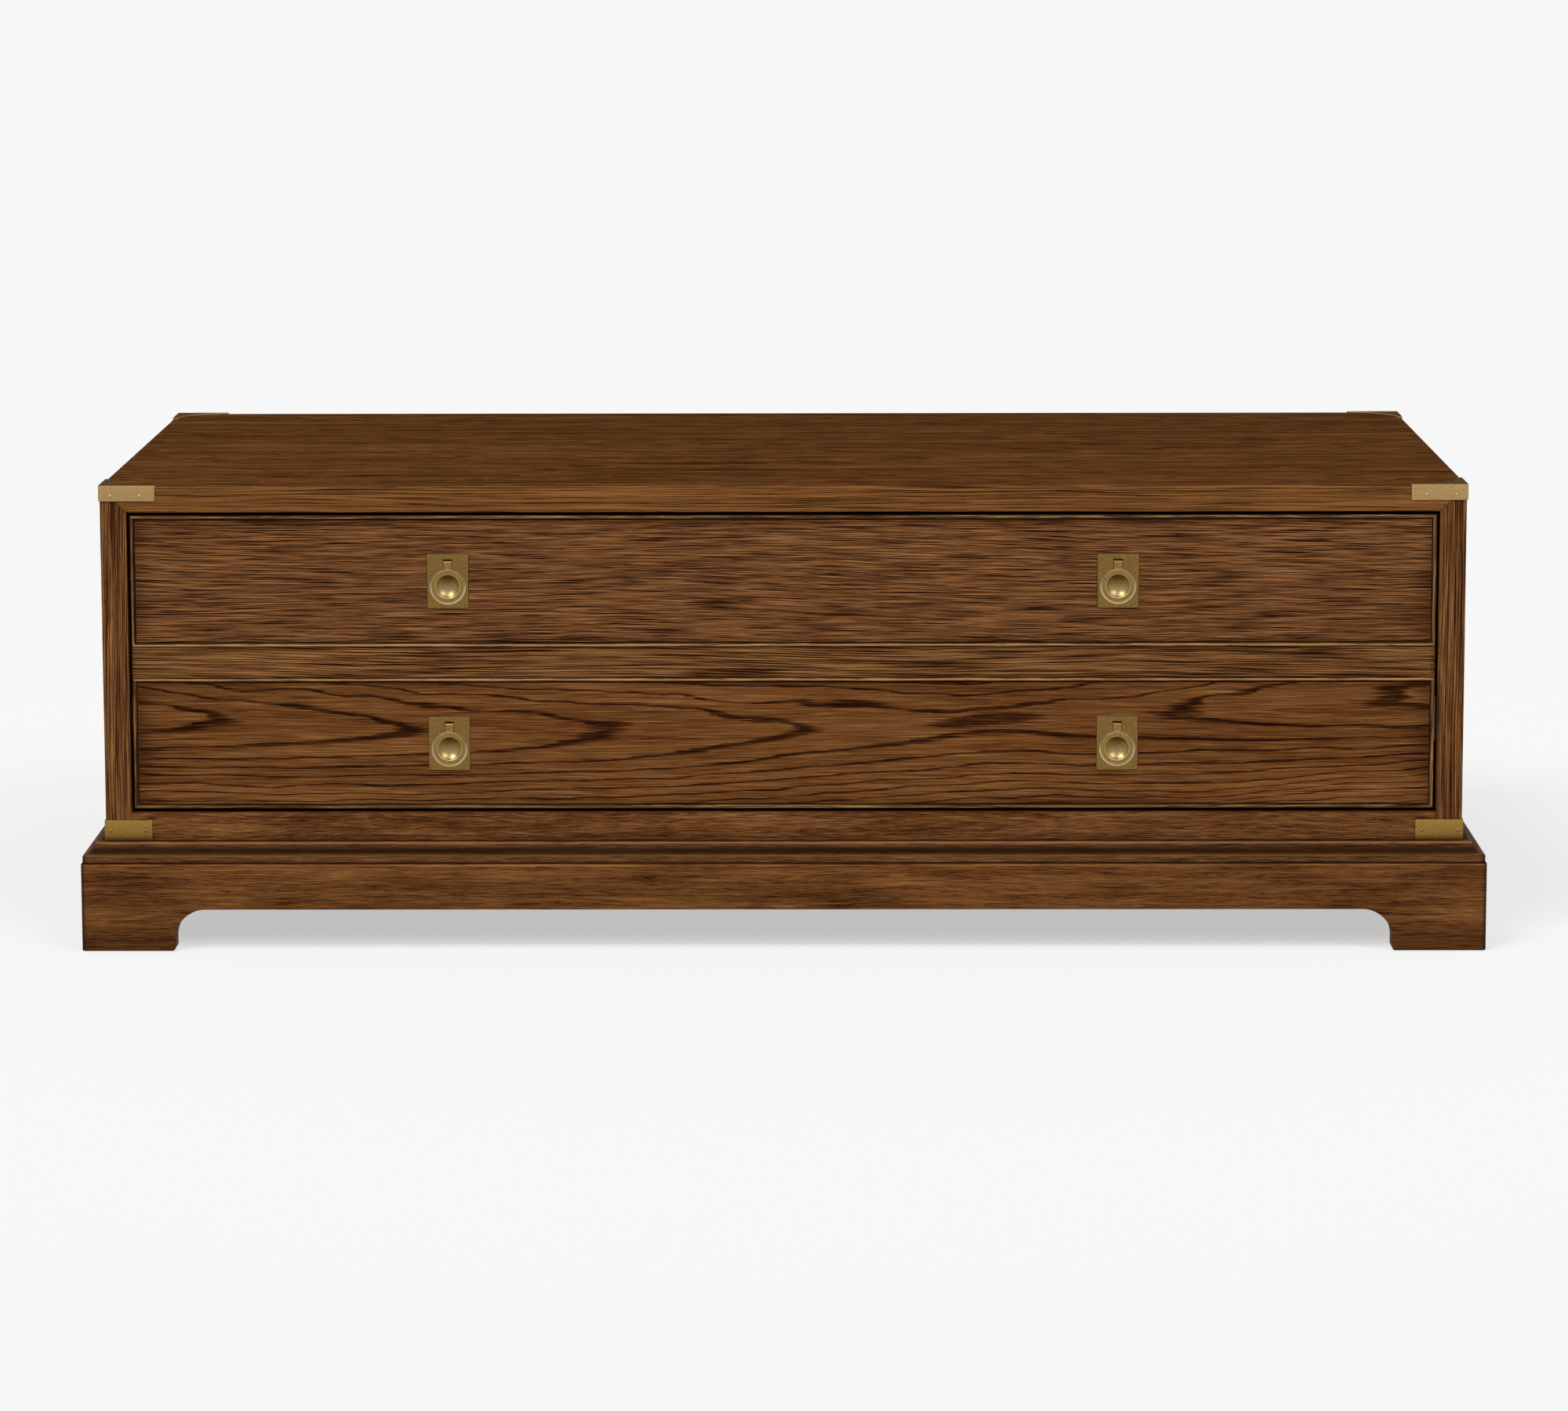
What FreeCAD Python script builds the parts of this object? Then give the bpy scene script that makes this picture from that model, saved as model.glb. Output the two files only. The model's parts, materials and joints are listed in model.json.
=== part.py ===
"""A low campaign-style coffee table: one deep drawer in a mitred case, on a moulded bracket plinth.

Millimetres. +Z is up, the drawer front faces -Y, and the origin is on the floor at the middle.
"""

import FreeCAD, Part

import math
import os

# Overall size of the table
overall_width = 1372.0
overall_depth = 711.0
overall_height = 457.2

# Case boards
board = 25.4
back_board = 18.0
bottom_board = 18.0
rail_board = 20.0
rail_show = 28.0
eased_edge = 0.8

# Plinth and its arches
plinth_height = 88.0
plinth_board = 28.0
plinth_eased = 1.5
plinth_setback = 22.5
foot_length = 91.0
arch_rise = 42.0
arch_radius = 30.0
foot_toe_radius = 3.0

# Cove moulding between the plinth and the case
fillet_height = 7.6
fillet_inset = 1.5
cove_radius = 11.6

# Blocks, cleats and glides under the case
block_leg = 42.0
cleat_size = 20.0
cleat_screw_radius = 2.0
cleat_screw_head_radius = 4.0
cleat_screw_head = 3.0
cleat_screw_bite = 10.0
cleat_screw_shares = (-0.8, 0.0, 0.8)
glide_show = 1.0
glide_radius = 12.0
glide_height = 5.0
glide_bevel = 1.5

# Brass corner brackets
brass_sheet = 1.2
brass_inlay = 0.4
top_leg = 53.8
top_drop = 14.3
top_plate_end = 4.0
top_plate_radius = 48.0
bottom_leg = 45.6
bottom_rise = 20.0
pin_head_radius = 1.7
pin_crown_radius = 0.9
pin_head_height = 0.8
top_pin_near = 11.7
top_pin_far = 40.1
top_pin_drop = 10.3
bottom_pin_near = 5.4
bottom_pin_far = 40.4
bottom_pin_drop = 10.5

# Drawer face
reveal = 3.0
face_board = 20.0
centre_rail_height = 30.4
bead_width = 3.6
bead_proud = 1.0
bead_depth = 12.0
quirk_width = 1.4
quirk_depth = 1.2
rail_end_ease = 1.2

# Drawer box
box_lift = 8.0
box_top_drop = 44.4
box_side = 14.0
box_end = 16.0
box_back_space = 68.0
box_bottom = 9.0
bottom_groove = 6.0
bottom_rise_in_box = 14.0
tail_count = 5
tail_root_share = 0.5
tail_tip_share = 0.64
brace_width = 40.0
brace_offset = 210.0

# Three-member drawer slides
slide_space = 12.7
slide_past_box = 1.8
slide_height = 45.0
slide_steel = 1.2
slide_above_box_base = 80.0
slide_set_back = 3.0
slide_web_gap = 2.0
slide_lip = 2.7
slide_lip_gap = 0.3
slide_ball_gap = 3.0
slide_flange = 8.9
middle_flange = 6.7
inner_flange = 7.7
bumper_length = 5.7
bumper_height = 24.0
bumper_thickness = 9.0
slide_screw_count = 3
slide_screw_head_radius = 3.6
slide_screw_head = 1.4
slide_screw_radius = 1.8
slide_screw_bite = 8.0

# Flush ring pulls
pull_offset = 326.0
plate_width = 40.3
plate_height = 53.0
plate_thickness = 2.0
plate_proud = 1.0
plate_bevel = 0.5
casting_width = 36.0
casting_height = 49.0
casting_depth = 9.0
mortise_gap = 0.2
ring_drop = 5.2
ring_radius = 16.4
ring_hole_radius = 11.3
ring_thickness = 2.6
ring_gap = 0.5
ring_floor_gap = 0.4
neck_width = 8.0
neck_fillet = 2.0
knuckle_radius = 2.8
knuckle_above_ring = 22.8
slot_above_pin = 4.1
hinge_pin_radius = 1.0
hinge_pin_gap = 0.1
hinge_pin_seat = 4.0
dish_margin = 0.2
dish_depth = 7.6
pull_screw_offset = 19.0
pull_screw_radius = 1.5
pull_screw_bite = 4.0
pull_screw_head_radius = 3.5
pull_screw_head = 2.5

# Screws that hold the face boards to the drawer box
face_screw_radius = 2.0
face_screw_bite = 12.0
face_screw_head_radius = 4.5
face_screw_head = 2.0
face_screw_columns = 3
face_screw_edge = 60.0
face_screw_rise_share = 0.3

# One overrun for every cut that passes a face
past = 5.0

# Flats that a small fastener, a hinge pin and a floor glide are drawn with
fastener_flat_count = 6
hinge_flat_count = 8
glide_flat_count = 12

# Places worked out from the sizes above
half_width = overall_width / 2
half_depth = overall_depth / 2
case_x = half_width - plinth_setback
case_y = half_depth - plinth_setback
case_top = overall_height - brass_sheet
inner_x = case_x - board
opening_top = case_top - board
moulding_top = plinth_height + fillet_height + cove_radius
rail_top = moulding_top + rail_show
field_y = -case_y + bead_proud
face_back_y = -case_y + face_board
face_x = inner_x - reveal
face_bottom = rail_top + reveal
face_top = opening_top - reveal
panel_height = (face_top - face_bottom - centre_rail_height) / 2
bead_strip = bead_width + quirk_width
box_x = inner_x - slide_space
box_base = rail_top + box_lift
box_top = face_top - box_top_drop
box_height = box_top - box_base
box_back_y = case_y - back_board - box_back_space
slide_z = box_base + slide_above_box_base
slide_front_y = face_back_y + slide_set_back
slide_back_y = box_back_y + slide_past_box
slide_length = slide_back_y - slide_front_y
casting_floor = ring_thickness + ring_floor_gap

X = FreeCAD.Vector(1, 0, 0)
Y = FreeCAD.Vector(0, 1, 0)
Z = FreeCAD.Vector(0, 0, 1)
ORIGIN = FreeCAD.Vector(0, 0, 0)


def point(x, y, z):
    return FreeCAD.Vector(x, y, z)


def block(x0, x1, y0, y1, z0, z1):
    """A box between two corners."""
    return Part.makeBox(x1 - x0, y1 - y0, z1 - z0, point(x0, y0, z0))


def prism(points, travel):
    """A flat outline of straight edges, pushed along a vector."""
    return Part.Face(Part.makePolygon(points + points[:1])).extrude(travel)


def rod(start, direction, radius, length):
    return Part.makeCylinder(radius, length, start, direction)


def ring_of_points(centre, direction, radius, flats):
    """The corners of a regular polygon that stands square to a row axis."""
    first = Z if abs(direction.z) < abs(direction.x) + abs(direction.y) else X
    second = direction.cross(first)
    corners = []
    for index in range(flats):
        turn = 2 * math.pi * (index + 0.5) / flats
        corners.append(centre + first * (radius * math.cos(turn)) + second * (radius * math.sin(turn)))
    return corners


def peg(start, direction, radius, length, flats=fastener_flat_count):
    """A small round thing drawn with a few flats."""
    return prism(ring_of_points(start, direction, radius, flats), direction * length)


def tapered_peg(start, direction, radius, end_radius, length, flats=fastener_flat_count):
    """A peg whose far end has another radius."""
    near_end = ring_of_points(start, direction, radius, flats)
    far_end = ring_of_points(start + direction * length, direction, end_radius, flats)
    wires = [Part.makePolygon(end + end[:1]) for end in (near_end, far_end)]
    return Part.makeLoft(wires, True, True)


def mirror_x(shape):
    return shape.mirror(ORIGIN, X)


def mirror_y(shape):
    return shape.mirror(ORIGIN, Y)


def four_corners(shape):
    """The front-left shape and its copies at the other three corners."""
    left = [shape, mirror_y(shape)]
    return left + [mirror_x(item) for item in left]


def fuse(shapes):
    """One clean solid from several that touch."""
    return shapes[0].multiFuse(shapes[1:]).removeSplitter()


def cut_all(shape, tools):
    return shape.cut(Part.makeCompound(tools))


def soften(shape, radius, chosen):
    """Rounds the edges of a shape whose middle point passes a test."""
    edges = [edge for edge in shape.Edges if chosen(edge.CenterOfMass)]
    return shape.makeFillet(radius, edges) if edges else shape


def near(a, b):
    return abs(a - b) < eased_edge / 4


def save(name, solids):
    """Writes one node, which may be a group of separate solids."""
    shape = solids[0] if len(solids) == 1 else Part.makeCompound(solids)
    shape.exportStep("parts/" + name + ".step")


def plan_mitre(half_run, outer, inner, z0, z1):
    """A mitred strip's plan along the front, from its outer face to its inner face."""
    drop = outer - inner
    plan = [
        point(-half_run, -outer, z0),
        point(half_run, -outer, z0),
        point(half_run - drop, -inner, z0),
        point(-half_run + drop, -inner, z0),
    ]
    return prism(plan, Z * (z1 - z0))


def four_runs(make_run):
    """Front, back, left and right runs of something that goes round the base."""
    front = make_run(half_width, half_depth)
    left = make_run(half_depth, half_width)
    left.rotate(ORIGIN, Z, -90)
    return {"front": front, "back": mirror_y(front), "left": left, "right": mirror_x(left)}


def arch_outline(half_run, y):
    """The open shape under a bracket plinth: small toe round, straight leg, corner arc, flat head."""
    inner = half_run - foot_length
    leg_top = arch_rise - arch_radius
    toe = foot_toe_radius
    bend = arch_radius * (1 - math.sqrt(0.5))
    toe_bend = toe * (1 - math.sqrt(0.5))
    low = glide_show

    def side(sign):
        toe_arc = Part.Arc(
            point(sign * (inner + toe), y, low),
            point(sign * (inner + toe_bend), y, low + toe_bend),
            point(sign * inner, y, low + toe),
        )
        leg = Part.LineSegment(point(sign * inner, y, low + toe), point(sign * inner, y, leg_top))
        corner = Part.Arc(
            point(sign * inner, y, leg_top),
            point(sign * (inner - bend), y, arch_rise - bend),
            point(sign * (inner - arch_radius), y, arch_rise),
        )
        return [toe_arc.toShape(), leg.toShape(), corner.toShape()]

    reach = inner + toe
    head = Part.LineSegment(
        point(-inner + arch_radius, y, arch_rise), point(inner - arch_radius, y, arch_rise)
    )
    right_drop = Part.LineSegment(point(reach, y, low), point(reach, y, low - past))
    floor = Part.LineSegment(point(reach, y, low - past), point(-reach, y, low - past))
    left_rise = Part.LineSegment(point(-reach, y, low - past), point(-reach, y, low))
    edges = side(-1) + [head.toShape()] + side(1)
    edges += [right_drop.toShape(), floor.toShape(), left_rise.toShape()]
    return Part.Face(Part.Wire(Part.__sortEdges__(edges)))


def plinth_run(half_run, outer):
    """One plinth board with its arch and mitred ends."""
    run = plan_mitre(half_run, outer, outer - plinth_board, glide_show, plinth_height)
    arch = arch_outline(half_run, -outer - past)
    run = run.cut(arch.extrude(Y * (plinth_board + past + past)))
    return soften(run, plinth_eased, lambda c: near(c.y, -outer) and near(c.z, plinth_height))


def moulding_run(half_run, outer):
    """One length of cove moulding: flat fillet below, hollow above, flat top against the case."""
    face = outer - fillet_inset
    wall = outer - plinth_setback
    low = plinth_height
    shoulder = plinth_height + fillet_height
    high = moulding_top
    start = -half_run
    bend = cove_radius * math.sqrt(0.5)
    corners = [
        point(start, -wall, high),
        point(start, -wall, low),
        point(start, -face, low),
        point(start, -face, shoulder),
    ]
    ledge = point(start, -face + cove_radius, high)
    hollow = Part.Arc(corners[3], point(start, -face + bend, high - bend), ledge)
    edges = Part.makePolygon(corners).Edges + [hollow.toShape(), Part.makeLine(ledge, corners[0])]
    profile = Part.Face(Part.Wire(Part.__sortEdges__(edges)))
    strip = profile.extrude(X * (half_run + half_run))
    inset_run = half_run - fillet_inset
    return strip.common(plan_mitre(inset_run, face, wall, low - past, high + past))


def make_plinth():
    for side, run in four_runs(plinth_run).items():
        save("plinth_" + side, [run])
    for side, run in four_runs(moulding_run).items():
        save("base_moulding_" + side, [run])

    inner_wx = half_width - plinth_board
    inner_wy = half_depth - plinth_board
    post = block(
        -inner_wx, -inner_wx + block_leg, -inner_wy, -inner_wy + block_leg, glide_height, plinth_height
    )
    save("plinth_corner_blocks", four_corners(post))

    centre = point(-inner_wx + block_leg / 2, -inner_wy + block_leg / 2, 0)
    glide = tapered_peg(centre, Z, glide_radius - glide_bevel, glide_radius, glide_height, glide_flat_count)
    save("floor_glides", four_corners(glide))

    low = plinth_height - cleat_size
    run_x = inner_wx - block_leg
    run_y = inner_wy - block_leg
    front = block(-run_x, run_x, -inner_wy, -inner_wy + cleat_size, low, plinth_height)
    side = block(-inner_wx, -inner_wx + cleat_size, -run_y, run_y, low, plinth_height)
    screws = []
    for share in cleat_screw_shares:
        screws.append(cleat_screw(share * run_x, -inner_wy + cleat_size / 2))
        screws.append(cleat_screw(share * run_x, inner_wy - cleat_size / 2))
    cleats = [front, mirror_y(front), side, mirror_x(side)]
    save("base_cleats", [cut_all(cleat, screws) for cleat in cleats])
    save("base_screws", screws)
    return screws


def cleat_screw(x, y):
    """A screw up through a cleat into the rail or back above it."""
    low = plinth_height - cleat_size
    head = peg(point(x, y, low), Z, cleat_screw_head_radius, cleat_screw_head)
    length = cleat_size - cleat_screw_head + cleat_screw_bite
    shank = peg(point(x, y, low + cleat_screw_head), Z, cleat_screw_radius, length)
    return fuse([head, shank])


def make_case(base_screws, slide_screws, top_brackets):
    """The mitred case: top, sides, back, bottom and the rail under the drawer."""
    top_outline = [
        point(-case_x, -case_y, case_top),
        point(case_x, -case_y, case_top),
        point(inner_x, -case_y, opening_top),
        point(-inner_x, -case_y, opening_top),
    ]
    top = prism(top_outline, Y * (case_y + case_y))
    top = soften(top, eased_edge, lambda c: near(c.z, case_top) and near(c.x, 0))
    save("top_panel", [cut_all(top, top_brackets)])

    side_outline = [
        point(-case_x, -case_y, plinth_height),
        point(-inner_x, -case_y, plinth_height),
        point(-inner_x, -case_y, opening_top),
        point(-case_x, -case_y, case_top),
    ]
    left = prism(side_outline, Y * (case_y + case_y))
    left = soften(left, eased_edge, lambda c: near(c.x, -case_x) and near(abs(c.y), case_y))
    fittings = slide_screws + top_brackets
    save("left_side_panel", [cut_all(left, fittings)])
    save("right_side_panel", [cut_all(mirror_x(left), fittings)])

    back = block(-inner_x, inner_x, case_y - back_board, case_y, plinth_height, opening_top)
    save("back_panel", [cut_all(back, base_screws)])
    rail = block(-inner_x, inner_x, -case_y, -case_y + rail_board, plinth_height, rail_top)
    save("front_bottom_rail", [cut_all(rail, base_screws)])
    bottom = block(
        -inner_x,
        inner_x,
        -case_y + rail_board,
        case_y - back_board,
        plinth_height,
        plinth_height + bottom_board,
    )
    save("bottom_panel", [bottom])


def pin_head(place, outward):
    """A domed escutcheon pin head that sits on a flange."""
    return tapered_peg(place, outward, pin_head_radius, pin_crown_radius, pin_head_height)


def flange_pins(near_x, far_x, z):
    """Pin heads on the front flange and the side flange of the front-left bracket."""
    face_x_out = -case_x - brass_sheet
    face_y_out = -case_y - brass_sheet
    heads = []
    for reach in (near_x, far_x):
        heads.append(pin_head(point(face_x_out + reach, face_y_out, z), -Y))
        heads.append(pin_head(point(face_x_out, face_y_out + reach, z), -X))
    return heads


def top_bracket():
    """A three-faced brass corner whose top plate has a hollow inner edge."""
    x0 = -case_x
    y0 = -case_y
    low = case_top - top_drop
    shell = block(
        x0 - brass_sheet, x0 + top_leg, y0 - brass_sheet, y0 + top_leg, low, overall_height
    )
    seat = case_top - brass_inlay
    wood = block(x0, x0 + top_leg + past, y0, y0 + top_leg + past, low - past, seat)
    shell = shell.cut(wood)
    swing = top_plate_end + top_plate_radius
    hollow = rod(point(x0 + swing, y0 + swing, seat), Z, top_plate_radius, brass_sheet + past)
    reach = top_leg + past
    high = overall_height + past
    beyond_x = block(x0 + swing, x0 + reach, y0 + top_plate_end, y0 + reach, seat, high)
    beyond_y = block(x0 + top_plate_end, x0 + reach, y0 + swing, y0 + reach, seat, high)
    return cut_all(shell, [hollow, beyond_x, beyond_y])


def bottom_bracket():
    """A brass angle round the foot of the case, standing on the moulding."""
    x0 = -case_x
    y0 = -case_y
    high = moulding_top + bottom_rise
    angle = block(
        x0 - brass_sheet, x0 + bottom_leg, y0 - brass_sheet, y0 + bottom_leg, moulding_top, high
    )
    wood = block(
        x0, x0 + bottom_leg + past, y0, y0 + bottom_leg + past, moulding_top - past, high + past
    )
    return angle.cut(wood)


def make_brackets():
    """Saves the brackets and their pins. Returns the top brackets, which are let into the wood."""
    corner_names = ("front_left", "back_left", "front_right", "back_right")
    top_brackets = four_corners(top_bracket())
    for name, shape in zip(corner_names, top_brackets):
        save("top_bracket_" + name, [shape])
    for name, shape in zip(corner_names, four_corners(bottom_bracket())):
        save("bottom_bracket_" + name, [shape])
    top_z = overall_height - top_pin_drop
    bottom_z = moulding_top + bottom_rise - bottom_pin_drop
    top_pins = []
    for head in flange_pins(top_pin_near, top_pin_far, top_z):
        top_pins += four_corners(head)
    bottom_pins = []
    for head in flange_pins(bottom_pin_near, bottom_pin_far, bottom_z):
        bottom_pins += four_corners(head)
    save("top_bracket_pins", top_pins)
    save("bottom_bracket_pins", bottom_pins)
    return top_brackets


def channel(web_x, web_side, reach, half_height, lip, front_y, back_y):
    """A roll-formed steel channel on the left side, with its lips turned in.

    web_x is the web's outer face, and web_side is the way that the flanges run from it.
    """
    steel = slide_steel
    far_x = web_x + web_side * reach

    def bar(xa, xb, za, zb):
        return block(min(xa, xb), max(xa, xb), front_y, back_y, slide_z + za, slide_z + zb)

    pieces = [bar(web_x, web_x + web_side * steel, -half_height, half_height)]
    pieces.append(bar(web_x, far_x, half_height - steel, half_height))
    pieces.append(bar(web_x, far_x, -half_height, -half_height + steel))
    if lip:
        lip_x = far_x - web_side * steel
        pieces.append(bar(lip_x, far_x, half_height - lip - steel, half_height))
        pieces.append(bar(lip_x, far_x, -half_height, -half_height + lip + steel))
    return fuse(pieces)


def slide_screw_places():
    """Distances along the slide where its screws stand."""
    step = slide_length / slide_screw_count
    return [slide_front_y + step * (index + 0.5) for index in range(slide_screw_count)]


def slide_screw(x, y, into):
    """A flat-headed screw through a channel web, driven towards +X or -X."""
    head_start = x - into * slide_screw_head
    head = peg(point(head_start, y, slide_z), X * into, slide_screw_head_radius, slide_screw_head)
    length = slide_steel + slide_screw_bite
    shank = peg(point(x, y, slide_z), X * into, slide_screw_radius, length)
    return fuse([head, shank])


def make_slides():
    """Outer, middle and inner member of each slide, with the screws that hold them."""
    outer_half = slide_height / 2
    middle_half = outer_half - slide_steel - slide_ball_gap
    inner_half = middle_half - slide_steel - slide_lip - slide_lip_gap
    outer_x = -inner_x
    middle_x = outer_x + slide_steel + slide_web_gap
    member_back = slide_back_y - bumper_length - slide_lip_gap
    outer = channel(outer_x, 1, slide_flange, outer_half, slide_lip, slide_front_y, slide_back_y)
    middle = channel(
        middle_x, 1, middle_flange, middle_half, slide_lip, slide_front_y, member_back
    )
    inner = channel(-box_x, -1, inner_flange, inner_half, 0, slide_front_y, member_back)

    outer_screws = []
    inner_screws = []
    for y in slide_screw_places():
        outer_screws.append(slide_screw(outer_x + slide_steel, y, -1))
        inner_screws.append(slide_screw(-box_x - slide_steel, y, 1))
    outer = cut_all(outer, outer_screws)
    inner = cut_all(inner, inner_screws)
    outer_screws += [mirror_x(screw) for screw in outer_screws]
    inner_screws += [mirror_x(screw) for screw in inner_screws]
    pad = block(
        outer_x + slide_steel,
        outer_x + slide_steel + bumper_thickness,
        slide_back_y - bumper_length,
        slide_back_y,
        slide_z - bumper_height / 2,
        slide_z + bumper_height / 2,
    )
    save("slide_outer_left", [outer])
    save("slide_outer_right", [mirror_x(outer)])
    save("slide_middle_left", [middle])
    save("slide_middle_right", [mirror_x(middle)])
    save("slide_inner_left", [inner])
    save("slide_inner_right", [mirror_x(inner)])
    save("slide_case_screws", outer_screws)
    save("slide_box_screws", inner_screws)
    save("slide_bumpers", [pad, mirror_x(pad)])
    return outer_screws, inner_screws


def ring_outline(radius, half_neck, fillet, top, depth):
    """The pull ring's outline: a disc with a neck on top, and a small round where they meet.

    It lies at a depth behind the plate's face, about the ring's own centre.
    """
    across = half_neck + fillet
    rise = math.sqrt((radius + fillet) ** 2 - across**2)
    lean = radius / (radius + fillet)
    half_turn = math.atan2(rise, across) / 2

    def side(sign):
        touch = point(sign * across * lean, depth, rise * lean)
        swing_x = across - fillet * math.cos(half_turn)
        swing = point(sign * swing_x, depth, rise - fillet * math.sin(half_turn))
        return touch, swing, point(sign * half_neck, depth, rise)

    left = side(-1)
    right = side(1)
    edges = [
        Part.Arc(left[0], point(0, depth, -radius), right[0]).toShape(),
        Part.Arc(*right).toShape(),
        Part.makeLine(right[2], point(half_neck, depth, top)),
        Part.makeLine(point(half_neck, depth, top), point(-half_neck, depth, top)),
        Part.makeLine(point(-half_neck, depth, top), left[2]),
        Part.Arc(*left).toShape(),
    ]
    return Part.Face(Part.Wire(Part.__sortEdges__(edges)))


def pull_ring():
    """The ring with its neck and knuckle, about the ring's centre, with its face at y = 0."""
    face = ring_outline(ring_radius, neck_width / 2, neck_fillet, knuckle_above_ring, 0)
    ring = face.extrude(Y * ring_thickness)
    hole = rod(point(0, -past, 0), Y, ring_hole_radius, ring_thickness + past + past)
    axis_start = point(-neck_width / 2, knuckle_radius, knuckle_above_ring)
    knuckle = rod(axis_start, X, knuckle_radius, neck_width)
    bore_radius = hinge_pin_radius + hinge_pin_gap
    bore = peg(axis_start - X * past, X, bore_radius, neck_width + 2 * past, hinge_flat_count)
    return fuse([ring.cut(hole), knuckle]).cut(bore)


def pull_pin():
    length = neck_width + 2 * (ring_gap + hinge_pin_seat)
    start = point(-length / 2, knuckle_radius, knuckle_above_ring)
    return peg(start, X, hinge_pin_radius, length, hinge_flat_count)


def dish():
    """The finger hollow: the part of a ball that dips behind the pocket's floor, under the ring's edge."""
    rim_radius = ring_hole_radius + dish_margin
    dip = dish_depth - casting_floor
    ball_radius = (rim_radius**2 + dip**2) / (2 * dip)
    ball = Part.makeSphere(ball_radius, point(0, dish_depth - ball_radius, 0))
    reach = rim_radius + past
    return ball.common(block(-reach, reach, casting_floor, dish_depth + past, -reach, reach))


def pull_screw():
    """A screw from behind the face board into the casting."""
    rear = plate_proud + face_board - bead_proud
    head_start = point(0, rear, 0)
    head = peg(head_start, -Y, pull_screw_head_radius, pull_screw_head)
    length = rear - pull_screw_head - casting_depth + pull_screw_bite
    shank = peg(head_start - Y * pull_screw_head, -Y, pull_screw_radius, length)
    return fuse([head, shank])


def pull_plate(screws):
    """The cast plate: bevelled front, ring pocket, hinge slot and finger dish."""
    middle = ring_drop
    half_w = plate_width / 2
    half_h = plate_height / 2
    plate = block(-half_w, half_w, 0, plate_thickness, middle - half_h, middle + half_h)
    plate = plate.makeChamfer(
        plate_bevel, [edge for edge in plate.Edges if near(edge.CenterOfMass.y, 0)]
    )
    half_cw = casting_width / 2
    half_ch = casting_height / 2
    boss = block(-half_cw, half_cw, plate_thickness, casting_depth, middle - half_ch, middle + half_ch)
    pocket_face = ring_outline(
        ring_radius + ring_gap,
        neck_width / 2 + ring_gap,
        neck_fillet - ring_gap,
        knuckle_above_ring + slot_above_pin,
        -past,
    )
    pocket = pocket_face.extrude(Y * (casting_floor + past))
    slot_half = neck_width / 2 + ring_gap
    slot = block(
        -slot_half,
        slot_half,
        0,
        2 * knuckle_radius + ring_floor_gap,
        knuckle_above_ring - knuckle_radius - ring_floor_gap,
        knuckle_above_ring + slot_above_pin,
    )
    casting = fuse([plate, boss])
    return cut_all(casting, [pocket]).cut(slot).cut(dish()).cut(pull_pin()).cut(
        Part.makeCompound(screws)
    )


def pull_places():
    """Name and ring centre of each pull, upper pair first."""
    lower_z = face_bottom + panel_height / 2 - ring_drop
    upper_z = face_top - panel_height / 2 - ring_drop
    places = {}
    for row, z in (("upper", upper_z), ("lower", lower_z)):
        for side, x in (("left", -pull_offset), ("right", pull_offset)):
            places[row + "_" + side] = point(x, field_y - plate_proud, z)
    return places


def moved(shape, place):
    copy = shape.copy()
    copy.translate(place)
    return copy


def make_pulls():
    """Four flush pulls. Returns what the face boards must make room for."""
    screw_rises = (ring_drop - pull_screw_offset, ring_drop + pull_screw_offset)
    lean = casting_width / 4
    screws = [moved(pull_screw(), point(side, 0, rise)) for side, rise in zip((lean, -lean), screw_rises)]
    plate = pull_plate(screws)
    ring = pull_ring()
    pin = pull_pin()
    gap = mortise_gap
    half_cw = casting_width / 2 + gap
    half_ch = casting_height / 2 + gap
    half_w = plate_width / 2 + gap
    half_h = plate_height / 2 + gap
    mortise = block(
        -half_cw, half_cw, 0, casting_depth, ring_drop - half_ch, ring_drop + half_ch
    )
    let_in = block(-half_w, half_w, 0, plate_thickness, ring_drop - half_h, ring_drop + half_h)
    room = [mortise, let_in] + screws
    pins = []
    all_screws = []
    rooms = {"upper": [], "lower": []}
    for name, place in pull_places().items():
        save("pull_plate_" + name, [moved(plate, place)])
        save("pull_ring_" + name, [moved(ring, place)])
        pins.append(moved(pin, place))
        all_screws += [moved(screw, place) for screw in screws]
        rooms[name.split("_")[0]] += [moved(item, place) for item in room]
    save("ring_hinge_pins", pins)
    save("pull_screws", all_screws)
    return rooms


def bead_run(half_run):
    """A straight cock bead, lying along X with its outer edge at z = 0 and its back at y = 0.

    The nose is half round, and a small quirk parts it from the field.
    """
    nose = bead_width / 2
    front = -bead_depth
    field = front + bead_proud
    quirk = field + quirk_depth
    start = -half_run
    arc_start = point(start, front + nose, 0)
    arc_end = point(start, front + nose, bead_width)
    outline = [
        arc_end,
        point(start, quirk, bead_width),
        point(start, quirk, bead_strip),
        point(start, 0, bead_strip),
        point(start, 0, 0),
        arc_start,
    ]
    edges = Part.makePolygon(outline).Edges
    edges.append(Part.Arc(arc_start, point(start, front, nose), arc_end).toShape())
    profile = Part.Face(Part.Wire(Part.__sortEdges__(edges)))
    return profile.extrude(X * (half_run + half_run))


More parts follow.
